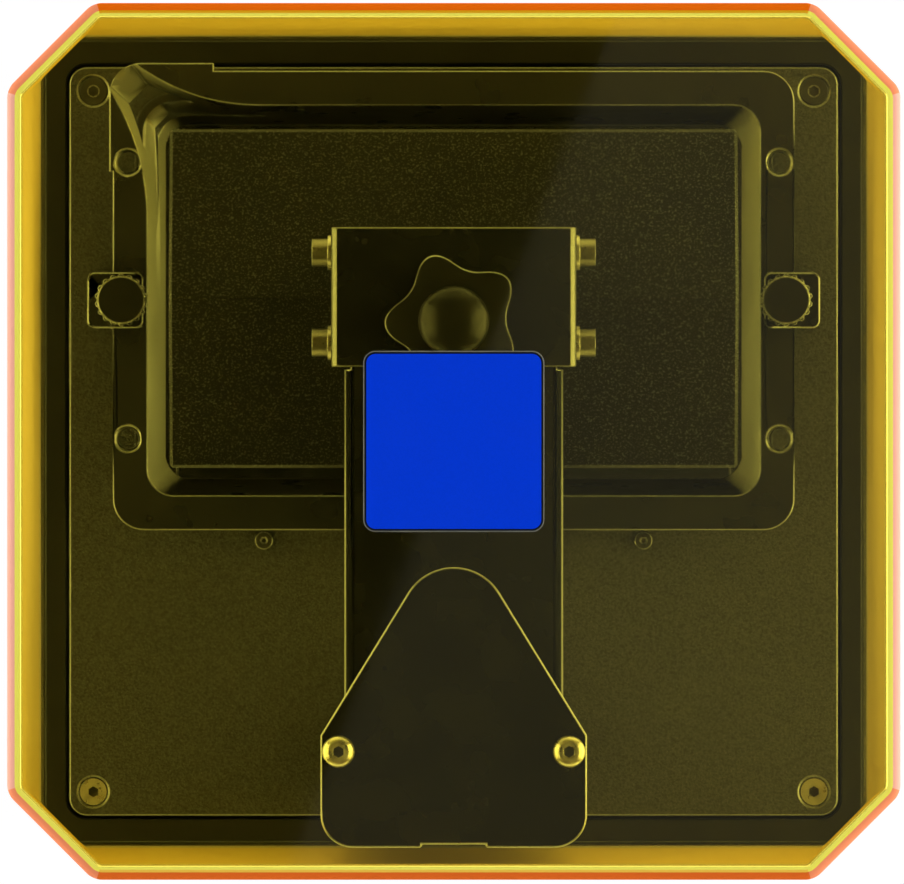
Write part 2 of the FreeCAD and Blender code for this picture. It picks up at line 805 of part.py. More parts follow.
sink = new_body("Sink")
block(sink, about(0, "light_x"), about("work_y", "light_y"), ("sink_top - sink_height", "sink_top"))
slot = new_sketch(sink, "XZ", "-work_y + light_y")
fin_pitch = "(2 * light_x - sink_fin) / (sink_fin_count - 1)"
rectangle(slot, ("-light_x + sink_fin", f"-light_x + {fin_pitch}"),
          ("sink_top - sink_height - fit_gap", "sink_top - sink_base"))
slot_cut = cut(sink, slot, "2 * light_y")
repeat(sink, slot_cut, "LinearPattern", (slot, ["H_Axis"]), f"{fin_pitch} * (sink_fin_count - 2)",
       count("sink_fin_count") - 1)
node(sink, "heat_sink")

# Resin vat: tapered frame with a pouring corner, film and its clamping frame
vat = new_body("Vat")
flange = new_sketch(vat, "XY", "vat_top - vat_flange_thick")
centred(flange, "vat_width / 2", "vat_depth / 2", 0, "work_y")
pad(vat, flange, "vat_flange_thick")
rounded(vat, "vat_outer_round", upright)
walls = new_sketch(vat, "XY", "vat_floor + film_frame_thick + fit_gap")
centred(walls, "vat_wall_x", "vat_wall_y", 0, "work_y")
pad(vat, walls, "vat_height - vat_flange_thick - film_frame_thick - fit_gap")
rounded(vat, "vat_outer_round", over(walls))
lip = new_sketch(vat, "XY", "vat_floor")
centred(lip, "film_x", "film_y", 0, "work_y")
pad(vat, lip, "film_frame_thick + fit_gap")
rounded(vat, "vat_lip_round", over(lip))
ear = new_sketch(vat, "XY", "vat_top - vat_flange_thick")
rectangle(ear, ("vat_width / 2 - spout_reach", "vat_width / 2 + spout_side"),
          ("vat_front - spout_lip", "vat_front + spout_reach"))
pad(vat, ear, "vat_flange_thick")
doc.recompute()
ear_corner = (max(v.Point.x for v in ear.Shape.Vertexes), min(v.Point.y for v in ear.Shape.Vertexes))
rounded(vat, "vat_outer_round", lambda edge: upright(edge) and math.hypot(
    edge.CenterOfMass.x - ear_corner[0], edge.CenterOfMass.y - ear_corner[1]) < 1e-4)
mouth = new_sketch(vat, "XY", "vat_top")
centred(mouth, "mouth_x", "mouth_y", 0, "work_y")
floor = new_sketch(vat, "XY", "vat_floor")
centred(floor, "floor_x", "floor_y", 0, "work_y")
cavity = vat.newObject("PartDesign::SubtractiveLoft", "Cavity")
cavity.Profile = mouth
cavity.Sections = [floor]
cavity.Ruled = True
rounded(vat, "vat_inner_round", lambda edge: upright(edge, 0.1) and edge.Length > 0.95 * mm("vat_height")
        and abs(edge.CenterOfMass.x) < mm("mouth_x"))
holes = [(f"{side} * (vat_width / 2 - vat_hole_inset)", f"work_y + {end} * vat_hole_spread")
         for side in (-1, 1) for end in (-1, 1)]
cut_disc(vat, holes, "vat_hole_radius", ("vat_top - vat_flange_thick", "vat_top"))
rim_level = mouth.Placement.Base.z
rounded(vat, "vat_hole_sink", lambda edge: level_at(edge, rim_level)
        and edge.Curve.TypeId == "Part::GeomCircle"
        and abs(edge.Curve.Radius - mm("vat_hole_radius")) < 1e-6, "Chamfer")


def bowed(start, leave, end):
    """An arc from start to end that leaves start along the unit direction leave."""
    chord = end - start
    side = chord - leave * chord.dot(leave)
    side.normalize()
    half = math.atan2(chord.dot(side), chord.dot(leave))
    radius = chord.dot(chord) / (2 * chord.dot(side))
    middle = start + leave * (radius * math.sin(half)) + side * (radius * (1 - math.cos(half)))
    return Part.Arc(start, middle, end).toShape()


def spout_outline(height, inset, near, far):
    """The pouring corner's outline at one height: near and far are the two ends of its mouth."""
    wall = mm("mouth_x") - inset
    front = mm("vat_front") + mm("vat_rim_width") + inset
    low = FreeCAD.Vector(wall, front + mm("spout_run"), height)
    high = FreeCAD.Vector(wall - mm("spout_run"), front, height)
    inside = FreeCAD.Vector(high.x, low.y, height)
    near = FreeCAD.Vector(near[0], near[1], height)
    far = FreeCAD.Vector(far[0], far[1], height)
    return Part.Wire([bowed(low, FreeCAD.Vector(0, -1, 0), near), Part.makeLine(near, far),
                      bowed(high, FreeCAD.Vector(1, 0, 0), far), Part.makeLine(high, inside),
                      Part.makeLine(inside, low)])


mouth_half = mm("spout_mouth") / 2 / math.sqrt(2)
tip = FreeCAD.Vector(ear_corner[0] - mm("spout_set_back"), ear_corner[1] + mm("spout_set_back"), 0)
sunk = mm("vat_taper") * mm("spout_depth") / mm("vat_height")
throat = FreeCAD.Vector(mm("mouth_x") - sunk, mm("vat_front") + mm("vat_rim_width") + sunk, 0)
throat_step = mm("spout_throat")
upper = spout_outline(rim_level + mm("fit_gap"), 0, (tip.x + mouth_half, tip.y + mouth_half),
                      (tip.x - mouth_half, tip.y - mouth_half))
lower = spout_outline(rim_level - mm("spout_depth"), sunk,
                      (throat.x + throat_step / 4, throat.y + throat_step),
                      (throat.x - throat_step, throat.y - throat_step / 4))
spout = doc.addObject("Part::Feature", "Spout")
spout.Shape = Part.makeLoft([upper, lower], True, True)
poured = doc.addObject("Part::Cut", "VatFrame")
poured.Base = vat
poured.Tool = spout
node(poured, "vat_frame")

film = new_body("Film")
sheet_outline = new_sketch(film, "XY", "vat_floor - film_thick")
centred(sheet_outline, "film_x", "film_y", 0, "work_y")
pad(film, sheet_outline, "film_thick")
rounded(film, "vat_lip_round", over(sheet_outline))
node(film, "release_film")

ring = new_body("FilmFrame")
outer = new_sketch(ring, "XY", "vat_floor")
centred(outer, "frame_x + film_frame_width", "frame_y + film_frame_width", 0, "work_y")
pad(ring, outer, "film_frame_thick")
rounded(ring, "vat_lip_round + film_frame_width", over(outer))
opening = new_sketch(ring, "XY", "vat_floor + film_frame_thick")
centred(opening, "frame_x", "frame_y", 0, "work_y")
cut(ring, opening, "film_frame_thick")
rounded(ring, "vat_lip_round + fit_gap", over(opening))
node(ring, "film_frame")

# Vat clamps and their thumbscrews, one on each side of the vat
for side, word in ((-1, "left"), (1, "right")):
    clamp = new_body("Clamp")
    foot = new_sketch(clamp, "XY", "deck")
    rectangle(foot, (f"{side} * (vat_width / 2 + clamp_gap)", f"{side} * clamp_out"),
              ("work_y - clamp_size / 2", "work_y + clamp_size / 2"))
    pad(clamp, foot, "clamp_top - deck")
    roof = new_sketch(clamp, "XY", "clamp_under")
    rectangle(roof, (f"{side} * clamp_in", f"{side} * clamp_out"),
              ("work_y - clamp_size / 2", "work_y + clamp_size / 2"))
    pad(clamp, roof, "clamp_roof")
    rounded(clamp, "clamp_round", over(roof))
    cut_disc(clamp, [(f"{side} * thumb_x", "work_y")], "thumb_shank + screw_clearance",
             ("clamp_under", "clamp_top"))
    node(clamp, f"vat_clamp_{word}")

    thumb = new_body("Thumb")
    disc(thumb, f"{side} * thumb_x", "work_y", "thumb_radius",
         ("clamp_top + turn_gap", "clamp_top + thumb_height"))
    doc.recompute()
    thumb_top = thumb.Shape.BoundBox.ZMax
    rounded(thumb, "thumb_edge", lambda edge: level_at(edge, thumb_top), "Chamfer")
    notch = new_sketch(thumb, "XY", "clamp_top + thumb_height", f"{side} * thumb_x", "work_y")
    circle(notch, "thumb_radius + thumb_notch / 3", 0, "thumb_notch")
    notch_cut = cut(thumb, notch, "thumb_height")
    repeat(thumb, notch_cut, "PolarPattern", (notch, ["N_Axis"]), None, count("thumb_notches"))
    disc(thumb, f"{side} * thumb_x", "work_y", "thumb_shank", ("vat_top + fit_gap", "clamp_top + turn_gap"))
    node(thumb, f"thumbscrew_{word}")

# Lift column: bent sheet post, cap, rail, motor and lead screw
column = new_body("Column")
block(column, about(0, "column_width / 2"), ("column_front", "column_back"), ("deck", "column_top"))
cut_block(column, ("column_sheet - column_width / 2", "column_width / 2 - column_sheet"),
          ("column_front", "column_face"), ("deck", "column_top"))
block(column, ("-column_width / 2", "column_width / 2"), ("column_front", "column_face"),
      ("deck", "deck + column_sheet"))
for side in (-1, 1):
    block(column, (f"{side} * (column_width / 2 - cap_tab_width)", f"{side} * column_width / 2"),
          ("column_front", "column_front + cap_tab_depth"), ("column_top - column_sheet", "column_top"))
cap_places = [("-cap_screw_half", "cap_screw_y"), ("cap_screw_half", "cap_screw_y")]
cut_disc(column, cap_places, "bolt_radius + fit_gap", ("column_top - cap_screw_length", "column_top"))
foot_places = [("-foot_bolt_x", "foot_bolt_y"), ("foot_bolt_x", "foot_bolt_y")]
cut_disc(column, foot_places, "bolt_radius + bolt_hole_gap", ("deck", "deck + column_sheet"))
node(column, "z_column")
group("column_screws", [
    cap_screw("ColumnScrew", x, y, "deck + column_sheet", "side_head_radius", "foot_bolt_head", "bolt_radius",
              "column_sheet + deck_thick") for x, y in foot_places])

cap = new_body("Cap")
outline = new_sketch(cap, "XY", "column_top")
polygon(outline, [("-cap_width / 2", "cap_back"), ("-cap_width / 2", "cap_back - cap_parallel"),
                  (0, "cap_back - cap_parallel - cap_nose_reach"),
                  ("cap_width / 2", "cap_back - cap_parallel"), ("cap_width / 2", "cap_back")])
pad(cap, outline, "cap_thick")
rounded(cap, "cap_nose_round", lambda edge: upright(edge) and abs(edge.CenterOfMass.x) < 1e-4)
rounded(cap, "cap_back_round", lambda edge: upright(edge)
        and edge.CenterOfMass.y > cap.Shape.BoundBox.YMax - mm("cap_parallel") / 2)
cut_block(cap, ("-cap_notch / 2", "cap_notch / 2"), ("cap_back - cap_notch_depth", "cap_back"),
          ("column_top", "cap_top"))
cut_disc(cap, cap_places, "bolt_radius + bolt_hole_gap", ("column_top", "cap_top"))
node(cap, "column_cap")
group("cap_screws", [
    cap_screw("CapScrew", x, y, "cap_top", "flat_head_radius", "cap_screw_head", "bolt_radius",
              "cap_thick + cap_screw_length") for x, y in cap_places])

rail = new_body("Rail")
block(rail, ("-rail_width / 2", "rail_width / 2"), ("rail_face", "column_face"),
      ("deck + column_sheet + rail_margin", "column_top - rail_margin"))
groove = new_sketch(rail, "XY", "column_top - rail_margin")
for side in (-1, 1):
    rectangle(groove, (f"{side} * (rail_width / 2 - rail_groove)", f"{side} * rail_width / 2"),
              ("rail_face + rail_height / 3", "rail_face + rail_height * 2 / 3"))
cut(rail, groove, "column_height - column_sheet - 2 * rail_margin")
hole = new_sketch(rail, "XZ", "-rail_face")
circle(hole, 0, "deck + column_sheet + rail_margin + rail_hole_pitch / 2", "rail_hole")
hole_cut = cut(rail, hole, "rail_hole_depth")
repeat(rail, hole_cut, "LinearPattern", (hole, ["V_Axis"]), "rail_hole_pitch * (rail_hole_count - 1)",
       count("rail_hole_count"))
node(rail, "linear_rail")

motor = new_body("Motor")
square = new_sketch(motor, "XY", "motor_foot")
centred(square, "motor_size / 2", "motor_size / 2", 0, "screw_y")
pad(motor, square, "motor_length")
rounded(motor, "motor_corner", upright, "Chamfer")
disc(motor, "0", "screw_y", "motor_pilot", ("deck_under", "deck_under + motor_pilot_rise"))
cut_disc(motor, [("0", "screw_y")], "screw_radius + screw_clearance",
         ("deck_under - screw_grip", "deck_under + motor_pilot_rise"))
node(motor, "z_motor")

screw = new_body("LeadScrew")
disc(screw, "0", "screw_y", "screw_radius", ("deck_under - screw_grip + running_gap", "bearing_foot"))
disc(screw, "0", "screw_y", "screw_tip", ("bearing_foot", "bearing_foot + bearing_thick"))
node(screw, "lead_screw")

bearing = new_body("Bearing")
disc(bearing, "0", "screw_y", "bearing_radius", ("bearing_foot + turn_gap", "bearing_foot + bearing_thick"))
cut_disc(bearing, [("0", "screw_y")], "screw_tip + screw_clearance", ("bearing_foot", "column_top"))
node(bearing, "screw_bearing")

holder = new_body("BearingHolder")
disc(holder, "0", "screw_y", "holder_radius", ("bearing_foot + turn_gap", "column_top"))
cut_disc(holder, [("0", "screw_y")], "bearing_radius", ("bearing_foot", "bearing_foot + bearing_thick"))
node(holder, "bearing_holder")

sensor = new_body("Sensor")
block(sensor, ("sensor_x - sensor_width / 2", "sensor_x + sensor_width / 2"),
      ("column_face - sensor_depth", "column_face"), ("sensor_z", "sensor_z + sensor_height"))
cut_block(sensor, ("sensor_x - sensor_slot / 2", "sensor_x + sensor_slot / 2"),
          ("column_face - sensor_depth", "column_face - sensor_base"),
          ("sensor_z", "sensor_z + sensor_height"))
node(sensor, "limit_sensor")

# Carriage: truck on the rail, back plate, arm and nut
truck = new_body("Truck")
block(truck, ("-truck_width / 2", "truck_width / 2"), ("truck_front", "truck_back"),
      ("truck_foot", "truck_foot + truck_length"))
cut_block(truck, ("-rail_width / 2 - running_gap", "rail_width / 2 + running_gap"),
          ("rail_face - running_gap", "truck_back"), ("truck_foot", "truck_foot + truck_length"))
node(truck, "rail_truck")

plate = new_body("CarriagePlate")
block(plate, ("-carriage_half", "carriage_half"), ("carriage_front", "truck_front"),
      ("arm_top - carriage_below", "arm_top + carriage_above"))
arm_bolts = [(f"{side} * arm_bolt_x", height) for side in (-1, 1)
             for height in ("arm_top - arm_bolt_high", "arm_top - arm_bolt_low")]
tapped = new_sketch(plate, "XZ", "-carriage_front")
for x, z in arm_bolts:
    circle(tapped, x, z, "bolt_radius + fit_gap")
cut(plate, tapped, "carriage_sheet")
node(plate, "carriage_plate")

arm = new_body("Arm")
block(arm, ("-arm_width / 2", "arm_width / 2"), ("yoke_back + arm_step", "carriage_front"),
      ("arm_top - arm_drop", "arm_top"))
cut_block(arm, ("arm_sheet - arm_width / 2", "arm_width / 2 - arm_sheet"),
          ("yoke_back + arm_step", "arm_back"), ("arm_top - arm_drop", "arm_under"))
slope = new_sketch(arm, "YZ", "arm_width / 2")
polygon(slope, [("yoke_back", "arm_top - arm_flange"), ("vat_back + arm_clear", "arm_top - arm_flange"),
                ("arm_back - arm_sheet", "arm_top - arm_drop"), ("yoke_back", "arm_top - arm_drop")])
cut(arm, slope, "arm_width")
block(arm, ("-tongue_half", "tongue_half"), ("yoke_front + arm_step", "yoke_back + arm_step"),
      ("arm_under", "arm_top"))
cut_disc(arm, [("0", "screw_y")], "nut_radius + running_gap", ("arm_under", "arm_top"))
cut_disc(arm, [("0", "knob_y")], "knob_stud + screw_clearance", ("arm_under", "arm_top"))
through = new_sketch(arm, "XZ", "-arm_back")
for x, z in arm_bolts:
    circle(through, x, z, "bolt_radius + bolt_hole_gap")
cut(arm, through, "arm_sheet")
bend = mm("arm_width") / 2
rounded(arm, "arm_bend", lambda edge: level_at(edge, mm("arm_top"))
        and abs(abs(edge.CenterOfMass.x) - bend) < 1e-4 and edge.BoundBox.YLength > bend)
node(arm, "z_arm")

bolts = []
for x, z in arm_bolts:
    bolt = new_body("ArmBolt")
    head = new_sketch(bolt, "XZ", "-arm_back")
    circle(head, x, z, "side_head_radius")
    pad(bolt, head, "side_head_height")
    shank = new_sketch(bolt, "XZ", "-arm_back")
    circle(shank, x, z, "bolt_radius")
    pad(bolt, shank, "arm_sheet + carriage_sheet", backwards=True)
    bolts.append(bolt)
group("arm_bolts", bolts)

nut = new_body("Nut")
disc(nut, "0", "screw_y", "nut_flange_radius", ("arm_under - nut_flange_thick", "arm_under"))
disc(nut, "0", "screw_y", "nut_radius",
     ("arm_under - nut_flange_thick - nut_length", "arm_top + nut_flange_thick"))
cut_disc(nut, [("0", "screw_y")], "screw_radius + screw_clearance",
         ("arm_under - nut_flange_thick - nut_length", "arm_top + nut_flange_thick"))
node(nut, "lead_nut")

flag = new_body("Flag")
block(flag, ("sensor_x - flag_thick / 2", "sensor_x + flag_thick / 2"),
      ("truck_front", "column_face - sensor_base - running_gap"),
      ("arm_top - carriage_below", "arm_top - carriage_below + flag_height"))
node(flag, "sensor_flag")

# Platform: yoke on the arm's end, clamping knob, levelling block and build plate
yoke = new_body("Yoke")
block(yoke, ("-yoke_out", "yoke_out"), ("yoke_front", "yoke_back"), ("yoke_top - yoke_drop", "yoke_top"))
cut_block(yoke, ("-yoke_in", "yoke_in"), ("yoke_front", "yoke_back"), ("yoke_top - yoke_drop", "arm_top"))
cut_disc(yoke, [("0", "knob_y")], "knob_stud + bolt_hole_gap", ("arm_top", "yoke_top"))
slots = new_sketch(yoke, "YZ", "yoke_out")
for end in (-1, 1):
    centred(slots, "bolt_radius + tilt_slot", "bolt_radius + tilt_slot",
            f"work_y + {end} * side_bolt_half", "pivot_z")
cut(yoke, slots, "2 * yoke_out")
shoulder = mm("yoke_out")
rounded(yoke, "yoke_bend", lambda edge: abs(abs(edge.CenterOfMass.x) - shoulder) < 1e-4
        and edge.BoundBox.YLength > mm("yoke_depth") - 1e-4
        and edge.CenterOfMass.z > yoke.Shape.BoundBox.ZMax - 0.01)
node(yoke, "platform_yoke")

knob = new_body("Knob")
disc(knob, "0", "knob_y", "knob_radius", ("knob_face", "knob_face + knob_thick"))
scallop = new_sketch(knob, "XY", "knob_face + knob_thick", "0", "knob_y")
circle(scallop, "knob_scallop_reach * cos(knob_turned * 1deg)",
       "knob_scallop_reach * sin(knob_turned * 1deg)",
       "knob_scallop")
scallop_cut = cut(knob, scallop, "knob_thick")
repeat(knob, scallop_cut, "PolarPattern", (scallop, ["N_Axis"]), None, count("knob_lobes"))
rounded(knob, "knob_edge", lambda edge: not upright(edge) and edge.BoundBox.ZLength < 1e-3)
disc(knob, "0", "knob_y", "knob_boss", ("knob_under", "knob_face"))
disc(knob, "0", "knob_y", "knob_stud", ("arm_under + fit_gap", "knob_under"))
dome = new_sketch(knob, "XZ", "-knob_y", "0", "knob_face + knob_thick")
polygon(dome, [(0, "-knob_edge"), ("knob_dome", "-knob_edge"), ("knob_dome", "knob_dome_rise / 3"),
               ("knob_dome * 0.8", "knob_dome_rise * 0.75"), ("knob_dome * 0.45", "knob_dome_rise"),
               (0, "knob_dome_rise")])
turn(knob, dome)
node(knob, "platform_knob")

lever = new_body("Block")
block(lever, about(0, "block_width / 2"), about("work_y", "block_depth / 2"),
      ("platform_top", "block_top"))
drilled = new_sketch(lever, "YZ", "block_width / 2")
for end in (-1, 1):
    circle(drilled, f"work_y + {end} * side_bolt_half", "pivot_z", "bolt_radius + fit_gap")
cut(lever, drilled, "block_width")
node(lever, "mount_block")

# the plate's top falls away to the front and back, so resin runs off it
build = new_body("BuildPlate")
gable = new_sketch(build, "YZ", "-platform_width / 2", "work_y", "platform_under")
polygon(gable, [("-platform_depth / 2", 0), ("platform_depth / 2", 0), ("platform_depth / 2", "platform_rim"),
                (0, "platform_thick"), ("-platform_depth / 2", "platform_rim")])
pad(build, gable, "platform_width")
rounded(build, "platform_edge", lambda edge: not level_at(edge, mm("platform_top")), "Chamfer")
block(build, about(0, "block_width / 2"), about("work_y", "block_depth / 2"),
      ("platform_under + platform_rim", "platform_top"))
node(build, "build_plate")

side_bolts, washers = [], []
for side in (-1, 1):
    for end in (-1, 1):
        middle = f"work_y + {end} * side_bolt_half"
        washer = new_body("Washer")
        flat = new_sketch(washer, "YZ", f"{side} * (yoke_out + turn_gap)")
        circle(flat, middle, "pivot_z", "washer_radius")
        circle(flat, middle, "pivot_z", "bolt_radius + fit_gap")
        pad(washer, flat, "washer_thick", backwards=side < 0)
        washers.append(washer)
        bolt = new_body("SideBolt")
        head = new_sketch(bolt, "YZ", f"{side} * (yoke_out + turn_gap + washer_thick)")
        circle(head, middle, "pivot_z", "side_head_radius")
        pad(bolt, head, "side_head_height", backwards=side < 0)
        shank = new_sketch(bolt, "YZ", f"{side} * (yoke_out + turn_gap + washer_thick)")
        circle(shank, middle, "pivot_z", "bolt_radius")
        pad(bolt, shank, "side_bolt_length", backwards=side > 0)
        key = new_sketch(bolt, "YZ", f"{side} * (yoke_out + turn_gap + washer_thick + side_head_height)")
        hexagon(key, middle, "pivot_z", "socket_flat")
        cut(bolt, key, "socket_depth", forwards=side < 0)
        side_bolts.append(bolt)
group("platform_side_bolts", side_bolts)
group("side_washers", washers)

# Electronics and panel fittings in the base
glass = new_body("Glass")
sketch = new_sketch(glass, "XZ", "wall_y")
centred(sketch, "display_width / 2 - display_gap", "display_height / 2 - display_gap", 0, "display_z")
pad(glass, sketch, "display_glass")
node(glass, "touch_screen")

module = new_body("DisplayModule")
sketch = new_sketch(module, "XZ", "wall_y")
centred(sketch, "display_width / 2 + display_border", "display_height / 2 + display_border", 0, "display_z")
pad(module, sketch, "display_depth", backwards=True)
node(module, "display_module")

board = new_body("Board")
block(board, about(0, "board_width / 2"), about("board_y", "board_depth / 2"),
      ("board_top - board_thick", "board_top"))
driver = ("driver_size", "driver_size", "driver_height")
plug = ("plug_width", "plug_depth", "plug_height")
fittings = [("0", "0", ("chip_size", "chip_size", "chip_height"))]
fittings += [(f"{side} * board_width / 4", "0", driver) for side in (-1, 1)]
fittings += [(f"{side} * board_width / 4", "plug_depth - board_depth / 2", plug) for side in (-1, 0, 1)]
for x, y, (wide, deep, high) in fittings:
    sketch = new_sketch(board, "XY", "board_top")
    centred(sketch, f"{wide} / 2", f"{deep} / 2", x, f"board_y + {y}")
    pad(board, sketch, high)
board_holes = corners("board_width / 2 - standoff_inset", "board_depth / 2 - standoff_inset")
node(board, "mainboard")
standoffs = []
for x, y in board_holes:
    post = new_body("Standoff")
    disc(post, x, f"board_y + {y}", "standoff_radius",
         ("foot_height + bottom_thick", "board_top - board_thick"))
    standoffs.append(post)
group("board_standoffs", standoffs)

shroud = new_body("FanFrame")
sketch = new_sketch(shroud, "XZ", "-fan_front", "fan_x", "fan_z")
centred(sketch, "fan_size / 2", "fan_size / 2")
pad(shroud, sketch, "fan_thick", backwards=True)
bore = new_sketch(shroud, "XZ", "-fan_front", "fan_x", "fan_z")
circle(bore, 0, 0, "fan_bore")
cut(shroud, bore, "fan_thick - fan_strut")
spider = new_sketch(shroud, "XZ", "-wall_y + fan_strut", "fan_x", "fan_z")
for i in range(3):
    steps = [120 * i + 14 + 23 * step for step in range(5)]
    inner = [("fan_boss", angle) for angle in (steps[0], steps[2], steps[4])]
    outer = [("fan_ring", angle) for angle in reversed(steps)]
    polygon(spider, [(f"{radius} * cos({angle}deg)", f"{radius} * sin({angle}deg)")
                     for radius, angle in inner + outer])
cut(shroud, spider, "fan_strut")
pin = new_sketch(shroud, "XZ", "-wall_y + fan_strut", "fan_x", "fan_z")
circle(pin, 0, 0, "fan_pin")
pad(shroud, pin, "fan_pin_length")
node(shroud, "fan_frame")

rotor = new_body("FanRotor")
hub = new_sketch(rotor, "XZ", "-fan_front - running_gap", "fan_x", "fan_z")
circle(hub, 0, 0, "fan_hub")
pad(rotor, hub, "fan_thick - fan_strut - 2 * running_gap", backwards=True)
blade = new_sketch(rotor, "YZ", "fan_x + fan_boss")
polygon(blade, [("fan_front + fan_blade_inset", "fan_z - fan_chord / 2"),
                ("fan_front + fan_blade_inset + fan_blade_thick", "fan_z - fan_chord / 2"),
                ("wall_y - fan_strut - fan_blade_inset", "fan_z + fan_chord / 2"),
                ("wall_y - fan_strut - fan_blade_inset - fan_blade_thick", "fan_z + fan_chord / 2")])
blade_pad = pad(rotor, blade, "fan_bore - fan_tip_gap - fan_hub + 1 - fan_chord * fan_chord / 8 / fan_bore")
repeat(rotor, blade_pad, "PolarPattern", (hub, ["N_Axis"]), None, count("fan_blades"))
axle = new_sketch(rotor, "XZ", "-wall_y + fan_strut", "fan_x", "fan_z")
circle(axle, 0, 0, "fan_pin + screw_clearance")
cut(rotor, axle, "fan_pin_length + running_gap", forwards=True)
node(rotor, "fan_rotor")

panel = new_body("RearPanel")
sketch = new_sketch(panel, "XZ", "-panel_face")
rectangle(sketch, about("inlet_x", "(panel_window / 2 + panel_margin)"),
          ("inlet_z - panel_window / 2 - panel_margin", "switch_z + panel_window / 2 + panel_margin"))
pad(panel, sketch, "panel_thick", backwards=True)
sketch = new_sketch(panel, "XZ", "-wall_y")
circle(sketch, "inlet_x", "inlet_z", "inlet_size / 2 + fit_gap")
centred(sketch, "switch_width / 2 + fit_gap", "switch_height / 2 + fit_gap", "inlet_x", "switch_z")
cut(panel, sketch, "panel_thick", forwards=True)
node(panel, "rear_panel")

inlet = new_body("Inlet")
sketch = new_sketch(inlet, "XZ", "-wall_y")
circle(sketch, "inlet_x", "inlet_z", "inlet_size / 2")
pad(inlet, sketch, "inlet_depth")
sketch = new_sketch(inlet, "XZ", "-wall_y")
circle(sketch, "inlet_x", "inlet_z", "inlet_size / 2 + inlet_collar")
pad(inlet, sketch, "inlet_collar", backwards=True)
sketch = new_sketch(inlet, "XZ", "-wall_y - inlet_collar")
circle(sketch, "inlet_x", "inlet_z", "inlet_bore")
cut(inlet, sketch, "inlet_depth - inlet_collar", forwards=True)
sketch = new_sketch(inlet, "XZ", "-wall_y + inlet_depth - 2 * inlet_collar")
circle(sketch, "inlet_x", "inlet_z", "inlet_pin")
pad(inlet, sketch, "inlet_depth - 2 * inlet_collar", backwards=True)
node(inlet, "power_inlet")

switch = new_body("Switch")
sketch = new_sketch(switch, "XZ", "-wall_y")
centred(sketch, "switch_width / 2", "switch_height / 2", "inlet_x", "switch_z")
pad(switch, sketch, "switch_depth")
sketch = new_sketch(switch, "XZ", "-wall_y")
centred(sketch, "switch_width / 2 + switch_flange", "switch_height / 2 + switch_flange",
        "inlet_x", "switch_z")
pad(switch, sketch, "switch_flange_thick", backwards=True)
sketch = new_sketch(switch, "XZ", "-wall_y - switch_flange_thick")
centred(sketch, "switch_width / 2 - switch_wall", "switch_height / 2 - switch_wall", "inlet_x", "switch_z")
cut(switch, sketch, "switch_flange_thick + rocker_depth + rocker_radius + running_gap", forwards=True)
node(switch, "switch_body")

rocker = new_body("Rocker")
rocker_side = "inlet_x - switch_width / 2 + switch_wall + running_gap"
sketch = new_sketch(rocker, "YZ", rocker_side, "switch_pivot", "switch_z")
circle(sketch, 0, 0, "rocker_radius")
pad(rocker, sketch, "switch_width - 2 * (switch_wall + running_gap)")
sketch = new_sketch(rocker, "YZ", "inlet_x + switch_width / 2", "switch_pivot", "switch_z")
lean = "rocker_radius * tan(rocker_angle * 1deg)"
polygon(sketch, [(f"rocker_rise + {lean}", "rocker_radius"), ("2 * rocker_radius", "rocker_radius"),
                 ("2 * rocker_radius", "-rocker_radius"), (f"rocker_rise - {lean}", "-rocker_radius")])
cut(rocker, sketch, "switch_width")
node(rocker, "switch_rocker")

usb = new_body("Usb")
sketch = new_sketch(usb, "YZ", "base_width / 2 - running_gap")
centred(sketch, "usb_width / 2", "usb_height / 2", "usb_y", "usb_z")
pad(usb, sketch, "usb_depth", backwards=True)
sketch = new_sketch(usb, "YZ", "base_width / 2 - running_gap")
centred(sketch, "usb_width / 2 - usb_wall", "usb_height / 2 - usb_wall", "usb_y", "usb_z")
cut(usb, sketch, "usb_depth - 2 * usb_wall")
sketch = new_sketch(usb, "YZ", "base_width / 2 - running_gap - usb_depth + usb_wall")
centred(sketch, "usb_width / 2 - 2 * usb_wall", "usb_tongue / 2", "usb_y", "usb_z + usb_tongue_rise")
pad(usb, sketch, "usb_depth - 3 * usb_wall - running_gap")
node(usb, "usb_port")

usb_board = new_body("UsbBoard")
block(usb_board, ("wall_x - usb_board_reach", "wall_x"), ("usb_y - usb_width", "usb_y + usb_width"),
      ("usb_z - usb_height / 2 - board_thick", "usb_z - usb_height / 2"))
node(usb_board, "usb_board")

# Cover: tapering eight-sided shell with a closed top, and the label on it


def eight_sided(low, high):
    """A solid between two eight-cornered outlines given as (width, depth, corner leg, height)."""
    rings = []
    for width, depth, leg, height in (low, high):
        right = [(width / 2 - leg, depth / 2), (width / 2, depth / 2 - leg)]
        right += [(x, -y) for x, y in reversed(right)]
        around = right + [(-x, y) for x, y in reversed(right)]
        rings.append([FreeCAD.Vector(x, y, height) for x, y in around])
    outlines = rings + [[rings[0][i - 1], rings[0][i], rings[1][i], rings[1][i - 1]] for i in range(8)]
    faces = [Part.Face(Part.makePolygon(points + points[:1])) for points in outlines]
    solid = Part.Solid(Part.Shell(faces))
    if solid.Volume < 0:
        solid.reverse()
    return solid


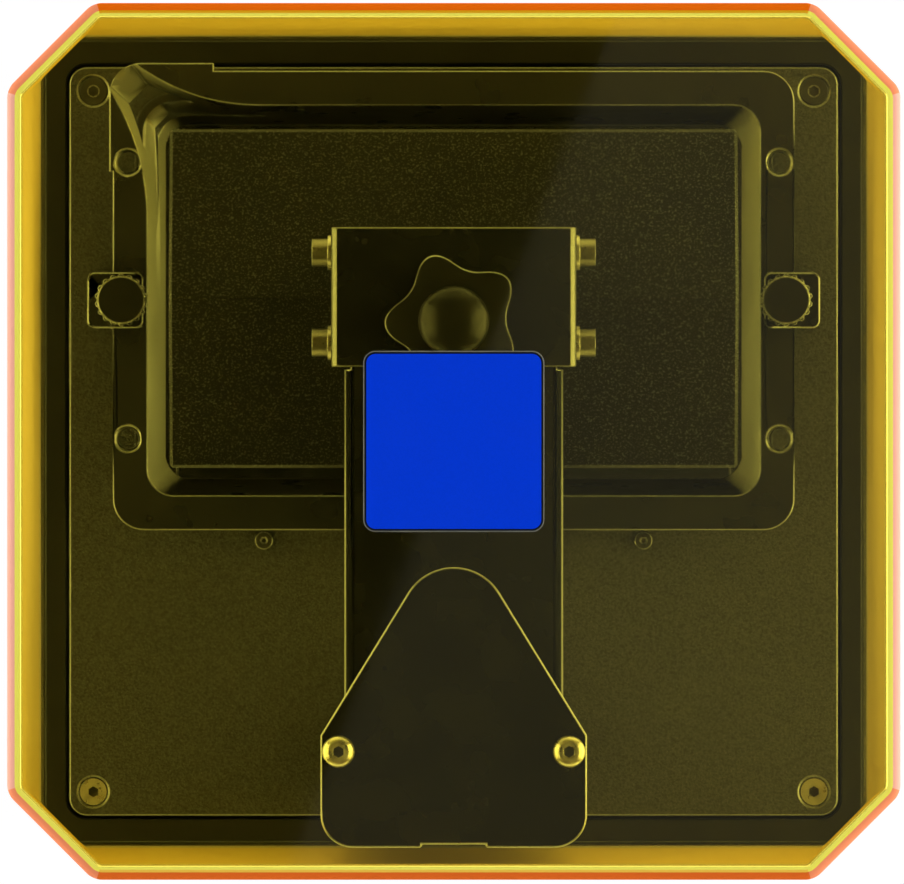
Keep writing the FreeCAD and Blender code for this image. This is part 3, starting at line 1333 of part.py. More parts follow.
foot_z, crown_z = mm("ledge"), mm("cover_top")
wall = mm("cover_wall")
width, depth, leg = mm("base_width"), mm("base_depth"), mm("base_chamfer")
inset, crown_leg = 2 * mm("cover_top_inset"), mm("cover_top_chamfer")
trim = wall * (2 - math.sqrt(2))
outside = eight_sided((width, depth, leg, foot_z), (width - inset, depth - inset, crown_leg, crown_z))
outside = outside.makeFillet(mm("cover_corner_round"), [e for e in outside.Edges if upright(e)])
crown_edges = [e for e in outside.Edges if e.BoundBox.ZMin > crown_z - 1e-3]
outside = outside.makeFillet(mm("cover_edge_round"), crown_edges)
hollow = eight_sided((width - 2 * wall, depth - 2 * wall, leg - trim, foot_z),
                     (width - inset - 2 * wall, depth - inset - 2 * wall, crown_leg - trim, crown_z - wall))
hollow = hollow.makeFillet(mm("cover_corner_round") - wall, [e for e in hollow.Edges if upright(e)])
cover = doc.addObject("Part::Feature", "Cover")
cover.Shape = outside.cut(hollow)
node(cover, "cover_shell")

label = new_body("Label")
sketch = new_sketch(label, "XY", "cover_top")
centred(sketch, "label_size / 2", "label_size / 2")
pad(label, sketch, "label_thick")
rounded(label, "label_round", upright)
node(label, "cover_label")

doc.recompute()
for thing in doc.Objects:
    if thing.State and "Invalid" in thing.State:
        raise RuntimeError(f"{thing.Name} ({thing.Label}) did not rebuild: {thing.State}")
os.makedirs("parts", exist_ok=True)
for piece in nodes:
    shape = piece.Shape
    if shape.isNull() or not shape.isValid() or not shape.Solids:
        raise RuntimeError(f"{piece.Label} has no valid solid")
    Part.export([piece], f"parts/{piece.Label}.step")
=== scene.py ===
"""Looks of a desktop resin printer: a black machine under an amber cover, seen straight down from above.

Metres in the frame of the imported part. Sizes written with MM are in millimetres. The front faces -Y.
"""
import json
import math

import bmesh
import bpy
from mathutils import Matrix, Vector


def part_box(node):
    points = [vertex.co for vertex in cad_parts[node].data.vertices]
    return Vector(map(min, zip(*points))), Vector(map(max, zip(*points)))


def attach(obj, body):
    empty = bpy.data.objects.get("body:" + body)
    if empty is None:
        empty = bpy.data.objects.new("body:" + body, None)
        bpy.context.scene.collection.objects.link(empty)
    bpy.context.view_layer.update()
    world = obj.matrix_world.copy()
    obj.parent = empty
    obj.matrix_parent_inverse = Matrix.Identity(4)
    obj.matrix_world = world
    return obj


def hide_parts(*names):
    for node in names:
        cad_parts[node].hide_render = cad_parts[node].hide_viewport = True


MM = 0.001

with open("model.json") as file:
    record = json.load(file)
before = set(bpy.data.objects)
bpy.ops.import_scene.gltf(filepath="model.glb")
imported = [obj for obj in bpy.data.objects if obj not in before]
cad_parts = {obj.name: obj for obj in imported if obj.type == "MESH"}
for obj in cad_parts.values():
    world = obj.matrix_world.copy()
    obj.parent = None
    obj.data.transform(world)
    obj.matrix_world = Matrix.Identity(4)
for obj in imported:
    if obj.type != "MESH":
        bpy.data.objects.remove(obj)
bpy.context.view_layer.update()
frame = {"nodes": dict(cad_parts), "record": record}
NODES = frame["nodes"]
BODY_OF = {node: body for body, names in frame["record"]["behaviour"]["bodies"].items() for node in names}

# Meshes: points this close are merged, faces this flat are one, and steeper edges are sharp
MERGE = 0.002 * MM
FLAT = math.radians(0.1)
SHARP = math.radians(32)
RING_SIDES = 24
# Slight dish of the flat ring faces, which tells the inner ring from the outer one
EASE = 0.05 * MM
# Grain values: the range that most of them fill, and the middle of it
MOST_GRAIN = (0.25, 0.75)
MID_GRAIN = (0.3, 0.7)

# Cover: sheet, slope of the walls, rounded corners and edges, and legs of the cut corners
COVER_WALL = 3.0 * MM
COVER_TAPER = 1.5 * MM
COVER_CORNER = 5.0 * MM
COVER_EDGE = 2.5 * MM
COVER_ARC = 6
COVER_SHARP = math.radians(40)
FOOT_LEG = 10.0 * MM
CROWN_LEG = 21.0 * MM
FOOT_BREAK = 0.4 * MM
LINE_WIDTH = 0.6 * MM
# Amber: the light that the sheet leaves, its density, the heights over which the painted glow of its walls
# fades in, that glow's colour, and its share on the side walls
AMBER_LEFT = (0.994, 0.925, 0.0, 1.0)
AMBER_DENSITY = 330.0
PAINTED_GLOW_FADE = (0.134, 0.190)
PAINTED_WALL_TINT = (0.95, 0.62, 0.06, 1.0)
SIDE_WALL_PAINTED_GLOW = 0.85
# Painted glow colour of the cover's rounded top edge, then painted highlight colour of the narrow line inside
# it, each side its own as the light falls there
PAINTED_EDGE_TINTS = {
    "side": ((0.96, 0.46, 0.33, 1.0), (1.0, 0.92, 0.13, 1.0)),
    "corner": ((0.95, 0.29, 0.13, 1.0), (1.0, 0.92, 0.11, 1.0)),
    "front": ((0.90, 0.155, 0.004, 1.0), (0.80, 0.40, 0.01, 1.0)),
    "back": ((0.84, 0.155, 0.02, 1.0), (1.0, 0.62, 0.08, 1.0)),
}

# Vat: reach of its pouring corner, and the sideways tilt over which its inner walls take a painted highlight
# of bright metal
SPOUT = 40 * MM
PAINTED_LIT_FROM, PAINTED_LIT_SPAN = 0.35, 0.45
# Bends of the sheet pieces, as the heights of their normals. The arm's lower band and the yoke's band take a
# painted highlight
ARM_BEND_LOW = (0.1, 0.5)
ARM_BEND_HIGH = (0.5, 0.99)
YOKE_BEND = (0.1, 0.97)
# Edges of the build plate's slopes are blunter than this, and stay unbroken
PLATE_SHARP = math.radians(50)

# Screws, as radii in millimetres. A socket is given by half its width across flats.
SOCKET, SOCKET_MOUTH = 1.25, 1.65
SHANK, SHANK_TIP = 2.0, 1.6
TIP_BREAK = 0.4 * MM
# Lead screw: radii in millimetres, lengths of the plain ends
SCREW_LEAD = 4.0 * MM
THREAD_ROOT, THREAD_CREST = 3.1, 3.9
SCREW_RADIUS, JOURNAL_RADIUS = 4.0, 2.5
PLAIN_FOOT, PLAIN_TOP, JOURNAL = 30 * MM, 9.5 * MM, 5 * MM
# Star knob: radii in millimetres, heights of dome, lobes and boss
KNOB_AXIS = Vector((0.0, -30.2 * MM))
KNOB_SIDES = 120
LOBES, LOBE_ROOT, LOBE_REACH, LOBE_SHAPE = 5, 13.4, 4.1, 1.25
LOBE_TURN = math.radians(10)
STUD, BOSS, DOME = 3.0, 7.0, 8.8
DOME_STEP, LOBE_HEIGHT, BOSS_HEIGHT, DOME_RISE = 6.0 * MM, 9.0 * MM, 3.0 * MM, 4.4 * MM


# Finishes


def finish(name, colour, rough, metallic=0.0, extra=None):
    """A material with one Principled shader."""
    material = bpy.data.materials.new(name)
    material.use_nodes = True
    sockets = {"Base Color": (*colour, 1.0), "Roughness": rough, "Metallic": metallic, **(extra or {})}
    for socket, value in sockets.items():
        shader_of(material).inputs[socket].default_value = value
    return material


def shader_of(material):
    """The Principled shader of a material."""
    return material.node_tree.nodes["Principled BSDF"]


def grain(material, size, stretch=(1, 1, 1), detail=2.0):
    """Speckles about size millimetres across, as a value from 0 to 1."""
    nodes, links = material.node_tree.nodes, material.node_tree.links
    where = nodes.new("ShaderNodeTexCoord")
    mapping = nodes.new("ShaderNodeMapping")
    mapping.inputs["Scale"].default_value = stretch
    texture = nodes.new("ShaderNodeTexNoise")
    texture.inputs["Scale"].default_value = 1 / (size * MM)
    texture.inputs["Detail"].default_value = detail
    links.new(where.outputs["Object"], mapping.inputs["Vector"])
    links.new(mapping.outputs["Vector"], texture.inputs["Vector"])
    return texture.outputs["Fac"]


def spread(owner, value, low, high, start=0.0, end=1.0):
    """Stretches the part of value between low and high to run from start to end."""
    ranged = owner.node_tree.nodes.new("ShaderNodeMapRange")
    for socket, number in (("From Min", low), ("From Max", high), ("To Min", start), ("To Max", end)):
        ranged.inputs[socket].default_value = number
    owner.node_tree.links.new(value, ranged.inputs["Value"])
    return ranged.outputs["Result"]


def arithmetic(owner, kind, first, second):
    """One value made of two. Either may be a number."""
    step = owner.node_tree.nodes.new("ShaderNodeMath")
    step.operation = kind
    for value, socket in zip((first, second), step.inputs):
        if isinstance(value, (int, float)):
            socket.default_value = value
        else:
            owner.node_tree.links.new(value, socket)
    return step.outputs["Value"]


def height_in(owner, space):
    """The height of a point in one of the spaces of the Texture Coordinate node."""
    nodes, links = owner.node_tree.nodes, owner.node_tree.links
    where = nodes.new("ShaderNodeTexCoord")
    parts = nodes.new("ShaderNodeSeparateXYZ")
    links.new(where.outputs[space], parts.inputs["Vector"])
    return parts.outputs["Z"]


def carried(material, name, output="Fac"):
    """A value that the mesh carries with it."""
    reader = material.node_tree.nodes.new("ShaderNodeAttribute")
    reader.attribute_name = name
    return reader.outputs[output]


def tint(material, value, first, second):
    """Colours the surface from first to second as value runs from 0 to 1. Either may be a node's output."""
    nodes, links = material.node_tree.nodes, material.node_tree.links
    mixed = nodes.new("ShaderNodeMix")
    mixed.data_type = "RGBA"
    sockets = [socket for socket in mixed.inputs if socket.type == "RGBA"]
    for colour, socket in zip((first, second), sockets):
        if isinstance(colour, bpy.types.NodeSocket):
            links.new(colour, socket)
        else:
            socket.default_value = (*colour, 1.0)
    links.new(value, mixed.inputs[0])
    result = next(socket for socket in mixed.outputs if socket.type == "RGBA")
    links.new(result, shader_of(material).inputs["Base Color"])


def mottle(material, value, colour, swing):
    """Makes colour darker and lighter by the share swing as value runs from 0 to 1."""
    tint(material, value, [c * (1 - swing) for c in colour], [min(1, c * (1 + swing)) for c in colour])


def dull(material, value, low, high):
    """Lets the roughness run from low to high with value."""
    material.node_tree.links.new(spread(material, value, *MOST_GRAIN, low, high),
                                 shader_of(material).inputs["Roughness"])


def relief(material, value, height):
    """Raises the surface by up to height millimetres with value."""
    nodes, links = material.node_tree.nodes, material.node_tree.links
    bump = nodes.new("ShaderNodeBump")
    bump.inputs["Distance"].default_value = height * MM
    links.new(value, bump.inputs["Height"])
    links.new(bump.outputs["Normal"], shader_of(material).inputs["Normal"])


def show(material, share, first, second):
    """Makes the surface run from the first shader to the second with share."""
    nodes, links = material.node_tree.nodes, material.node_tree.links
    mixed = nodes.new("ShaderNodeMixShader")
    for output, socket in zip((share, first, second), mixed.inputs):
        links.new(output, socket)
    links.new(mixed.outputs["Shader"], nodes["Material Output"].inputs["Surface"])


def coated(name, colour, size, height, rough=0.5, swing=0.3, gloss=0.3):
    """Powder coat: fine grains in the height and the shade."""
    material = finish(name, colour, rough, extra={"Specular IOR Level": gloss})
    speck = spread(material, grain(material, size), *MID_GRAIN)
    mottle(material, speck, colour, swing)
    dull(material, grain(material, 12), rough - 0.06, rough + 0.06)
    relief(material, speck, height)
    return material


def blasted(name, colour, rough, painted_glint):
    """Dark anodised metal, grit-blasted first. Single grains are painted as glints, brighter than the colour
    by the factor given last.
    """
    material = finish(name, colour, rough, extra={"Specular IOR Level": 0.4})
    pits = grain(material, 0.55, detail=3.0)
    tint(material, spread(material, pits, 0.54, 0.66), colour, [c * painted_glint for c in colour])
    dull(material, grain(material, 14), rough - 0.05, rough + 0.05)
    relief(material, pits, 0.05)
    return material


def metal(name, colour, rough, stretch=(1, 1, 1), size=0.5, swing=0.12, height=0.004):
    """Bare or plated metal. Its fine tool marks are drawn out along the axes where stretch is below 1."""
    material = finish(name, colour, rough, metallic=1.0)
    marks = grain(material, size, stretch)
    mottle(material, spread(material, marks, *MOST_GRAIN), colour, swing)
    dull(material, marks, rough - 0.08, rough + 0.08)
    relief(material, marks, height)
    return material


def moulded(name, colour, rough, size=0.8, height=0.006, gloss=0.5):
    """Moulded plastic with a faint spark-eroded grain."""
    material = finish(name, colour, rough, extra={"Specular IOR Level": gloss})
    speck = grain(material, size)
    mottle(material, spread(material, grain(material, 9), *MID_GRAIN), colour, 0.15)
    dull(material, speck, rough - 0.05, rough + 0.05)
    relief(material, speck, height)
    return material


def paint_lit_metal(material, name, colour, rougher):
    """Paints bright metal over a coat as a highlight, as far as the attribute of that name says."""
    links, shader = material.node_tree.links, shader_of(material)
    amount = carried(material, name)
    tint(material, amount, shader.inputs["Base Color"].links[0].from_socket, colour)
    links.new(amount, shader.inputs["Metallic"])
    rough = shader.inputs["Roughness"].links[0].from_socket
    added = spread(material, amount, 0.0, 1.0, end=rougher)
    links.new(arithmetic(material, "ADD", rough, added), shader.inputs["Roughness"])


def amber_plastic():
    """Clear amber sheet with its colour in its depth. Its cut edges and its walls seen along them take a
    painted glow, an amber colour that stands in for light carried in the sheet.
    """
    material = finish("amber_plastic", (1.0, 1.0, 1.0), 0.02, extra={"Transmission Weight": 1.0, "IOR": 1.49})
    nodes, links = material.node_tree.nodes, material.node_tree.links
    shader = shader_of(material)
    dull(material, grain(material, 30), 0.008, 0.03)

    # Painted glow: walls seen edge-on and the rounded edges turn from clear to a lit amber colour, fading
    # towards the foot
    slant = nodes.new("ShaderNodeLayerWeight")
    slant.inputs["Blend"].default_value = 0.5
    along = arithmetic(material, "POWER", slant.outputs["Facing"], 6.0)
    lit = spread(material, height_in(material, "Object"), *PAINTED_GLOW_FADE, 0.3, 1.0)
    walls = arithmetic(material, "MULTIPLY", carried(material, "painted_wall_glow"), along)
    walls = arithmetic(material, "MULTIPLY", walls, lit)
    painted_glow = arithmetic(material, "ADD", carried(material, "painted_edge_glow"), walls)
    tint(material, painted_glow, (1.0, 1.0, 1.0), carried(material, "painted_glow_tint", "Color"))
    links.new(arithmetic(material, "SUBTRACT", 1.0, painted_glow), shader.inputs["Transmission Weight"])
    gloss = arithmetic(material, "SUBTRACT", 0.5, painted_glow)
    links.new(arithmetic(material, "MAXIMUM", gloss, 0.0), shader.inputs["Specular IOR Level"])

    path = nodes.new("ShaderNodeLightPath")
    clear = nodes.new("ShaderNodeBsdfTransparent")
    clear.inputs["Color"].default_value = (0.96, 0.96, 0.96, 1.0)
    show(material, path.outputs["Is Shadow Ray"], shader.outputs["BSDF"], clear.outputs["BSDF"])
    depth = nodes.new("ShaderNodeVolumeAbsorption")
    depth.inputs["Color"].default_value = AMBER_LEFT
    depth.inputs["Density"].default_value = AMBER_DENSITY
    links.new(depth.outputs["Volume"], nodes["Material Output"].inputs["Volume"])
    return material


housing_coat = coated("housing_coat", (0.030, 0.031, 0.034), size=0.5, height=0.03)
deck_coat = coated("deck_sand_coat", (0.052, 0.052, 0.053), size=0.55, height=0.12, rough=0.48, swing=0.45)
black_coat = coated("black_coat", (0.003, 0.003, 0.0032), size=0.4, height=0.006, rough=0.26, gloss=0.5)
vat_anodised = coated("vat_anodised", (0.006, 0.006, 0.0063), size=0.3, height=0.003, rough=0.3, swing=0.2,
                      gloss=0.6)
# Painted highlight: inner walls of the vat that face the side lamps show bright metal
paint_lit_metal(vat_anodised, "painted_lit_wall", (0.85, 0.85, 0.83), rougher=0.25)
seat_plastic = moulded("seat_plastic", (0.008, 0.008, 0.0085), 0.45, gloss=0.35)
knob_plastic = moulded("knob_plastic", (0.004, 0.004, 0.0043), 0.34, gloss=0.4)
fitting_plastic = moulded("fitting_plastic", (0.02, 0.02, 0.022), 0.42)
rocker_plastic = moulded("rocker_plastic", (0.014, 0.014, 0.015), 0.25)
rubber = moulded("foot_rubber", (0.02, 0.02, 0.02), 0.8, size=0.4, height=0.02)
zinc = metal("zinc_plate", (0.70, 0.66, 0.55), 0.3, size=3.0, height=0.001)
# Painted highlight: light metal on broken edges and rims, standing in for edges that catch the lamps
painted_edge_highlight = metal("painted_edge_highlight", (0.42, 0.42, 0.40), 0.32, size=0.3, swing=0.15, height=0.001)
dull_bend = moulded("dull_bend", (0.003, 0.003, 0.0032), 0.5, gloss=0.06)
# Painted highlight for the lit bends of the yoke
painted_bend_highlight = metal("painted_bend_highlight", (0.25, 0.25, 0.235), 0.4, size=0.3, swing=0.2, height=0.002)
black_oxide = metal("black_oxide", (0.10, 0.10, 0.105), 0.35)
bolt_steel = metal("bolt_steel", (0.30, 0.28, 0.22), 0.35, height=0.002)
steel = metal("ground_steel", (0.55, 0.56, 0.58), 0.28, stretch=(1, 1, 0.05), size=0.3)
brass = metal("turned_brass", (0.72, 0.55, 0.25), 0.3, stretch=(0.2, 0.2, 1), size=0.3)
aluminium = metal("milled_aluminium", (0.66, 0.67, 0.69), 0.35, stretch=(0.06, 1, 1), size=0.3)
tin = metal("tin_plate", (0.75, 0.76, 0.78), 0.22, size=0.8)
# Painted glints on single grains of the build plate
plate_blasted = blasted("blasted_plate", (0.004, 0.004, 0.0042), 0.34, painted_glint=18)
glass_black = moulded("black_glass", (0.008, 0.008, 0.010), 0.06, size=20.0, height=0.0005)
board_green = moulded("board_green", (0.03, 0.16, 0.09), 0.4, size=3.0, height=0.02)
tunnel_plastic = moulded("tunnel_plastic", (0.05, 0.05, 0.05), 0.6)
chip_yellow = moulded("chip_yellow", (0.75, 0.72, 0.45), 0.35)
lens_clear = moulded("lens_clear", (0.92, 0.94, 0.95), 0.08, size=10.0, height=0.0005)
film_clear = moulded("film_clear", (0.92, 0.93, 0.94), 0.12, size=8.0, height=0.001, gloss=0.3)
shader_of(film_clear).inputs["Transmission Weight"].default_value = 1.0
label_blue = coated("label_blue", (0.0008, 0.048, 0.80), size=0.5, height=0.002, rough=0.35, swing=0.03,
                    gloss=0.1)
screen_grey = moulded("screen_grey", (0.018, 0.022, 0.028), 0.08, size=0.3, height=0.0005)
# Painted highlight: the pale line round the label stands for the lit edge of its recess
painted_label_edge = moulded("painted_label_edge", (0.16, 0.16, 0.13), 0.4, size=0.5, height=0.002, gloss=0.2)
label_gap = moulded("label_gap", (0.004, 0.006, 0.01), 0.4, size=0.5, height=0.002, gloss=0.1)
amber = amber_plastic()


# Pieces


def new_piece(name, bm, material, node):
    """Makes the mesh a piece that stands for a node of the part and moves with its body."""
    mesh = bpy.data.meshes.new(name)
    bm.to_mesh(mesh)
    bm.free()
    for layer in [a for a in mesh.attributes if a.name == "custom_normal"]:
        mesh.attributes.remove(layer)
    for face in mesh.polygons:
        face.use_smooth = True
    mesh.materials.clear()
    mesh.materials.append(material)
    piece = bpy.data.objects.new(name, mesh)
    bpy.context.scene.collection.objects.link(piece)
    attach(piece, BODY_OF[node])
    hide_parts(node)
    return piece


def softened(piece, edge):
    """Breaks the sharp edges of a piece by edge millimetres."""
    bevel = piece.modifiers.new("Edges", "BEVEL")
    bevel.width = edge * MM
    bevel.segments = 2
    bevel.profile = 0.5
    bevel.limit_method = "ANGLE"
    bevel.angle_limit = SHARP
    bevel.use_clamp_overlap = False
    bevel.harden_normals = True
    piece.data.set_sharp_from_angle(angle=SHARP)
    return piece


def solid_of(node, whole=True):
    """A merged copy of a node's mesh, its flat faces whole or left as triangles."""
    bm = bmesh.new()
    bm.from_mesh(NODES[node].data)
    bmesh.ops.remove_doubles(bm, verts=bm.verts, dist=MERGE)
    if whole:
        bmesh.ops.dissolve_limit(bm, angle_limit=FLAT, verts=bm.verts, edges=bm.edges)
    return bm


def dressed(node, material, edge, whole=True, painted_light=None):
    """The finished form of a node. Where a second material is given, its broken edges take it as a painted
    highlight.
    """
    piece = softened(new_piece(f"{node}_finished", solid_of(node, whole), material, node), edge)
    if painted_light:
        piece.data.materials.append(painted_light)
        piece.modifiers["Edges"].material = 1
    return piece


def share_out(piece, materials, index_of):
    """Adds materials to a piece and gives each face the one at the place that index_of tells."""
    for material in materials:
        piece.data.materials.append(material)
    for face in piece.data.polygons:
        face.material_index = int(index_of(face))


def on_bend(face, low, high):
    """True on a bend that runs from front to back, where its tilt is between two heights of its normal."""
    return low < face.normal.z < high and abs(face.normal.y) < 0.1


def plain(node, material):
    """A node that is hidden, or too thin for broken edges, keeps its own mesh."""
    NODES[node].data.materials.clear()
    NODES[node].data.materials.append(material)


def inset(bm, face, width):
    """Draws a border of that width inside a face. Gives the border's faces."""
    return bmesh.ops.inset_region(bm, faces=[face], thickness=width, use_even_offset=True)["faces"]


def rounded(bm, edges, offset):
    """Rounds edges of the cover."""
    bmesh.ops.bevel(bm, geom=edges, offset=offset, offset_type="OFFSET", segments=COVER_ARC, profile=0.5,
                    affect="EDGES", material=-1)


def ring_of_eight(bm, half_x, half_y, leg, height):
    """The edges of a rectangle with its corners cut off."""
    right = [(half_x - leg, -half_y), (half_x, leg - half_y), (half_x, half_y - leg), (half_x - leg, half_y)]
    around = right + [(-x, y) for x, y in reversed(right)]
    corners = [bm.verts.new((x, y, height)) for x, y in around]
    return [bm.edges.new((corners[i - 1], corners[i])) for i in range(8)]


def face_at(bm, height):
    """The largest face that lies flat at a height."""
    flat = [f for f in bm.faces if all(abs(v.co.z - height) < 0.01 * MM for v in f.verts)]
    return max(flat, key=lambda face: face.calc_area())


def hood(bm, foot, crown, corner, edge):
    """An open-bottomed box with cut corners, each corner and top edge rounded. Gives its bottom edges."""
    foot_height, crown_height = foot[-1], crown[-1]
    lower, upper = ring_of_eight(bm, *foot), ring_of_eight(bm, *crown)
    sides = bmesh.ops.bridge_loops(bm, edges=lower + upper)["faces"]
    bmesh.ops.contextual_create(bm, geom=upper)
    uprights = dict.fromkeys(e for f in sides for e in f.edges if e not in lower and e not in upper)
    rounded(bm, list(uprights), corner * math.tan(math.pi / 8))
    rounded(bm, list(face_at(bm, crown_height).edges), edge)
    inset(bm, face_at(bm, crown_height), LINE_WIDTH)
    return [e for e in bm.edges if e.is_boundary and abs(e.verts[0].co.z - foot_height) < 0.1 * MM]


def side_of(face):
    """Which painted edge tint a face of the cover's top edge takes, by the way it faces."""
    turn = math.degrees(math.atan2(abs(face.normal.y), abs(face.normal.x)))
    if turn < 15:
        return "side"
    if turn < 75:
        return "corner"
    return "front" if face.calc_center_median().y < 0 else "back"


def paint_cover_glow(bm, outside):
    """Marks how much painted glow each face of the cover takes, as a cut edge or as a wall, and in which
    colour.
    """
    painted_edge_glow, painted_wall_glow = (bm.faces.layers.float[name] for name in ("painted_edge_glow", "painted_wall_glow"))
    painted_glow_tint = bm.faces.layers.float_color["painted_glow_tint"]
    top = max(outside, key=lambda face: face.normal.z * face.calc_area())
    for face in bm.faces:
        out = face.normal
        face[painted_glow_tint] = PAINTED_WALL_TINT
        if face not in outside:
            upright = abs(out.z) <= 0.3
            # Painted glow on the inner walls, a little less on the side walls
            face[painted_wall_glow] = upright * (SIDE_WALL_PAINTED_GLOW if abs(out.x) > 0.9 else 1.0)
        elif face is not top and out.z > 0.1:
            face[painted_edge_glow] = 1.0
            face[painted_glow_tint] = PAINTED_EDGE_TINTS[side_of(face)][out.z > 0.96]


def amber_cover():
    """The cover: one hood inside another, joined along the foot."""
    low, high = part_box("cover_shell")
    half_x, half_y = high.x, high.y
    trim = COVER_WALL * (2 - math.sqrt(2))
    crown = (half_x - COVER_TAPER, half_y - COVER_TAPER, CROWN_LEG, high.z)
    bm = bmesh.new()
    # Attributes that carry the painted glow of edges and walls, and its colour
    bm.faces.layers.float.new("painted_edge_glow")
    bm.faces.layers.float.new("painted_wall_glow")
    bm.faces.layers.float_color.new("painted_glow_tint")
    outer = hood(bm, (half_x, half_y, FOOT_LEG, low.z), crown, COVER_CORNER, COVER_EDGE)
    bmesh.ops.recalc_face_normals(bm, faces=bm.faces)
    outside = set(bm.faces)
    inner = hood(bm, (half_x - COVER_WALL, half_y - COVER_WALL, FOOT_LEG - trim, low.z + FOOT_BREAK),
                 (half_x - COVER_TAPER - COVER_WALL, half_y - COVER_TAPER - COVER_WALL, CROWN_LEG - trim,
                  high.z - COVER_WALL), COVER_CORNER - COVER_WALL, COVER_WALL / 4)
    inner = [e for e in inner if not any(f in outside for f in e.link_faces)]
    bmesh.ops.bridge_loops(bm, edges=outer + inner)
    bmesh.ops.recalc_face_normals(bm, faces=bm.faces)
    paint_cover_glow(bm, outside)
    cover = new_piece("amber_cover", bm, amber, "cover_shell")
    cover.data.set_sharp_from_angle(angle=COVER_SHARP)
    flats = cover.modifiers.new("Flats", "WEIGHTED_NORMAL")
    flats.weight = 100
    flats.keep_sharp = True


def outlined_label():
    """The blank blue label with a painted highlight as its pale outer line, and the dark gap inside it."""
    bm = solid_of("cover_label")
    face = max(bm.faces, key=lambda f: f.normal.z * f.calc_area())
    line = inset(bm, face, 0.3 * MM)
    gap = inset(bm, face, 0.45 * MM)
    finishes = [1 if part in line else 2 if part in gap else 0 for part in bm.faces]
    label = new_piece("blank_label", bm, label_blue, "cover_label")
    share_out(label, [painted_label_edge, label_gap], lambda part: finishes[part.index])


def hexagon(half):
    """How far a hexagon reaches in each direction, from its half width across flats."""
    return lambda angle: half / math.cos((angle + math.pi / 6) % (math.pi / 3) - math.pi / 6)


def star(inwards):
    """How far the knob's rounded lobes reach in each direction, less a step inwards."""
    def reach(angle):
        lobe = (1 + math.cos(LOBES * angle - LOBE_TURN)) / 2
        return LOBE_ROOT - inwards + LOBE_REACH * lobe ** LOBE_SHAPE
    return reach


def ring(bm, centre, radius, height, count):
    """A closed ring of edges. Its radius is in millimetres, one for all directions or one for each."""
    place = Matrix.Translation((centre.x, centre.y, height))
    points = bmesh.ops.create_circle(bm, segments=count, radius=MM, matrix=place)["verts"]
    for point in points:
        out = point.co.xy - centre.xy
        point.co.xy = centre.xy + out * (radius(math.atan2(out.y, out.x)) if callable(radius) else radius)
    return list(dict.fromkeys(edge for point in points for edge in point.link_edges))


def finished_vat():
    """The vat: a painted highlight of bright metal on its side walls and rim edges, and a pouring corner that
    runs smoothly down into it.
    """
    low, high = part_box("vat_frame")
    middle = (low + high) / 2
    vat = dressed("vat_frame", vat_anodised, edge=0.3, whole=False, painted_light=painted_edge_highlight)
    mesh = vat.data
    mesh.attributes.new("painted_lit_wall", "FLOAT", "CORNER")
    mesh.attributes.new("bevel_weight_edge", "FLOAT", "EDGE")
    walls = [face for face in mesh.polygons if face.normal.z < 0.95 and face.center.z > low.z + MM
             and face.normal.xy.dot((middle - face.center).xy) > 0]
    facing = {}
    for face in walls:
        for index in face.vertices:
            facing[index] = facing.get(index, Vector()) + face.normal * face.area
    painted_light = mesh.attributes["painted_lit_wall"].data
    # Painted highlight: the more a wall faces sideways, towards the side lamps, the more bright metal it
    # shows
    for face in walls:
        for corner, index in zip(face.loop_indices, face.vertices):
            sideways = abs(facing[index].normalized().x)
            painted_light[corner].value = min(max((sideways - PAINTED_LIT_FROM) / PAINTED_LIT_SPAN, 0.0), 1.0)
    broken, sharp = (mesh.attributes[name].data for name in ("bevel_weight_edge", "sharp_edge"))
    for edge in mesh.edges:
        ends = [mesh.vertices[index].co for index in edge.vertices]
        if all(high.x - SPOUT < v.x < high.x - MM and low.y + MM < v.y < low.y + SPOUT
               and low.z + MM < v.z < high.z - 0.4 * MM for v in ends):
            sharp[edge.index].value = False
        broken[edge.index].value = float(sharp[edge.index].value)
    vat.modifiers["Edges"].limit_method = "WEIGHT"


def shell_of_rings(bm, centre, rows, count=RING_SIDES):
    """A closed form through rings, each given by its radius in millimetres and its height."""
    rings = [ring(bm, centre, radius, height, count) for radius, height in rows]
    for first, second in zip(rings, rings[1:]):
        bmesh.ops.bridge_loops(bm, edges=first + second)
    bmesh.ops.contextual_create(bm, geom=rings[0])
    bmesh.ops.contextual_create(bm, geom=rings[-1])


def turned(node, bm, material):
    """Makes the forms in a mesh, closed and with crisp edges, the finished form of a node."""
    bmesh.ops.recalc_face_normals(bm, faces=bm.faces)
    piece = new_piece(f"{node}_finished", bm, material, node)
    piece.data.set_sharp_from_angle(angle=SHARP)
    return piece


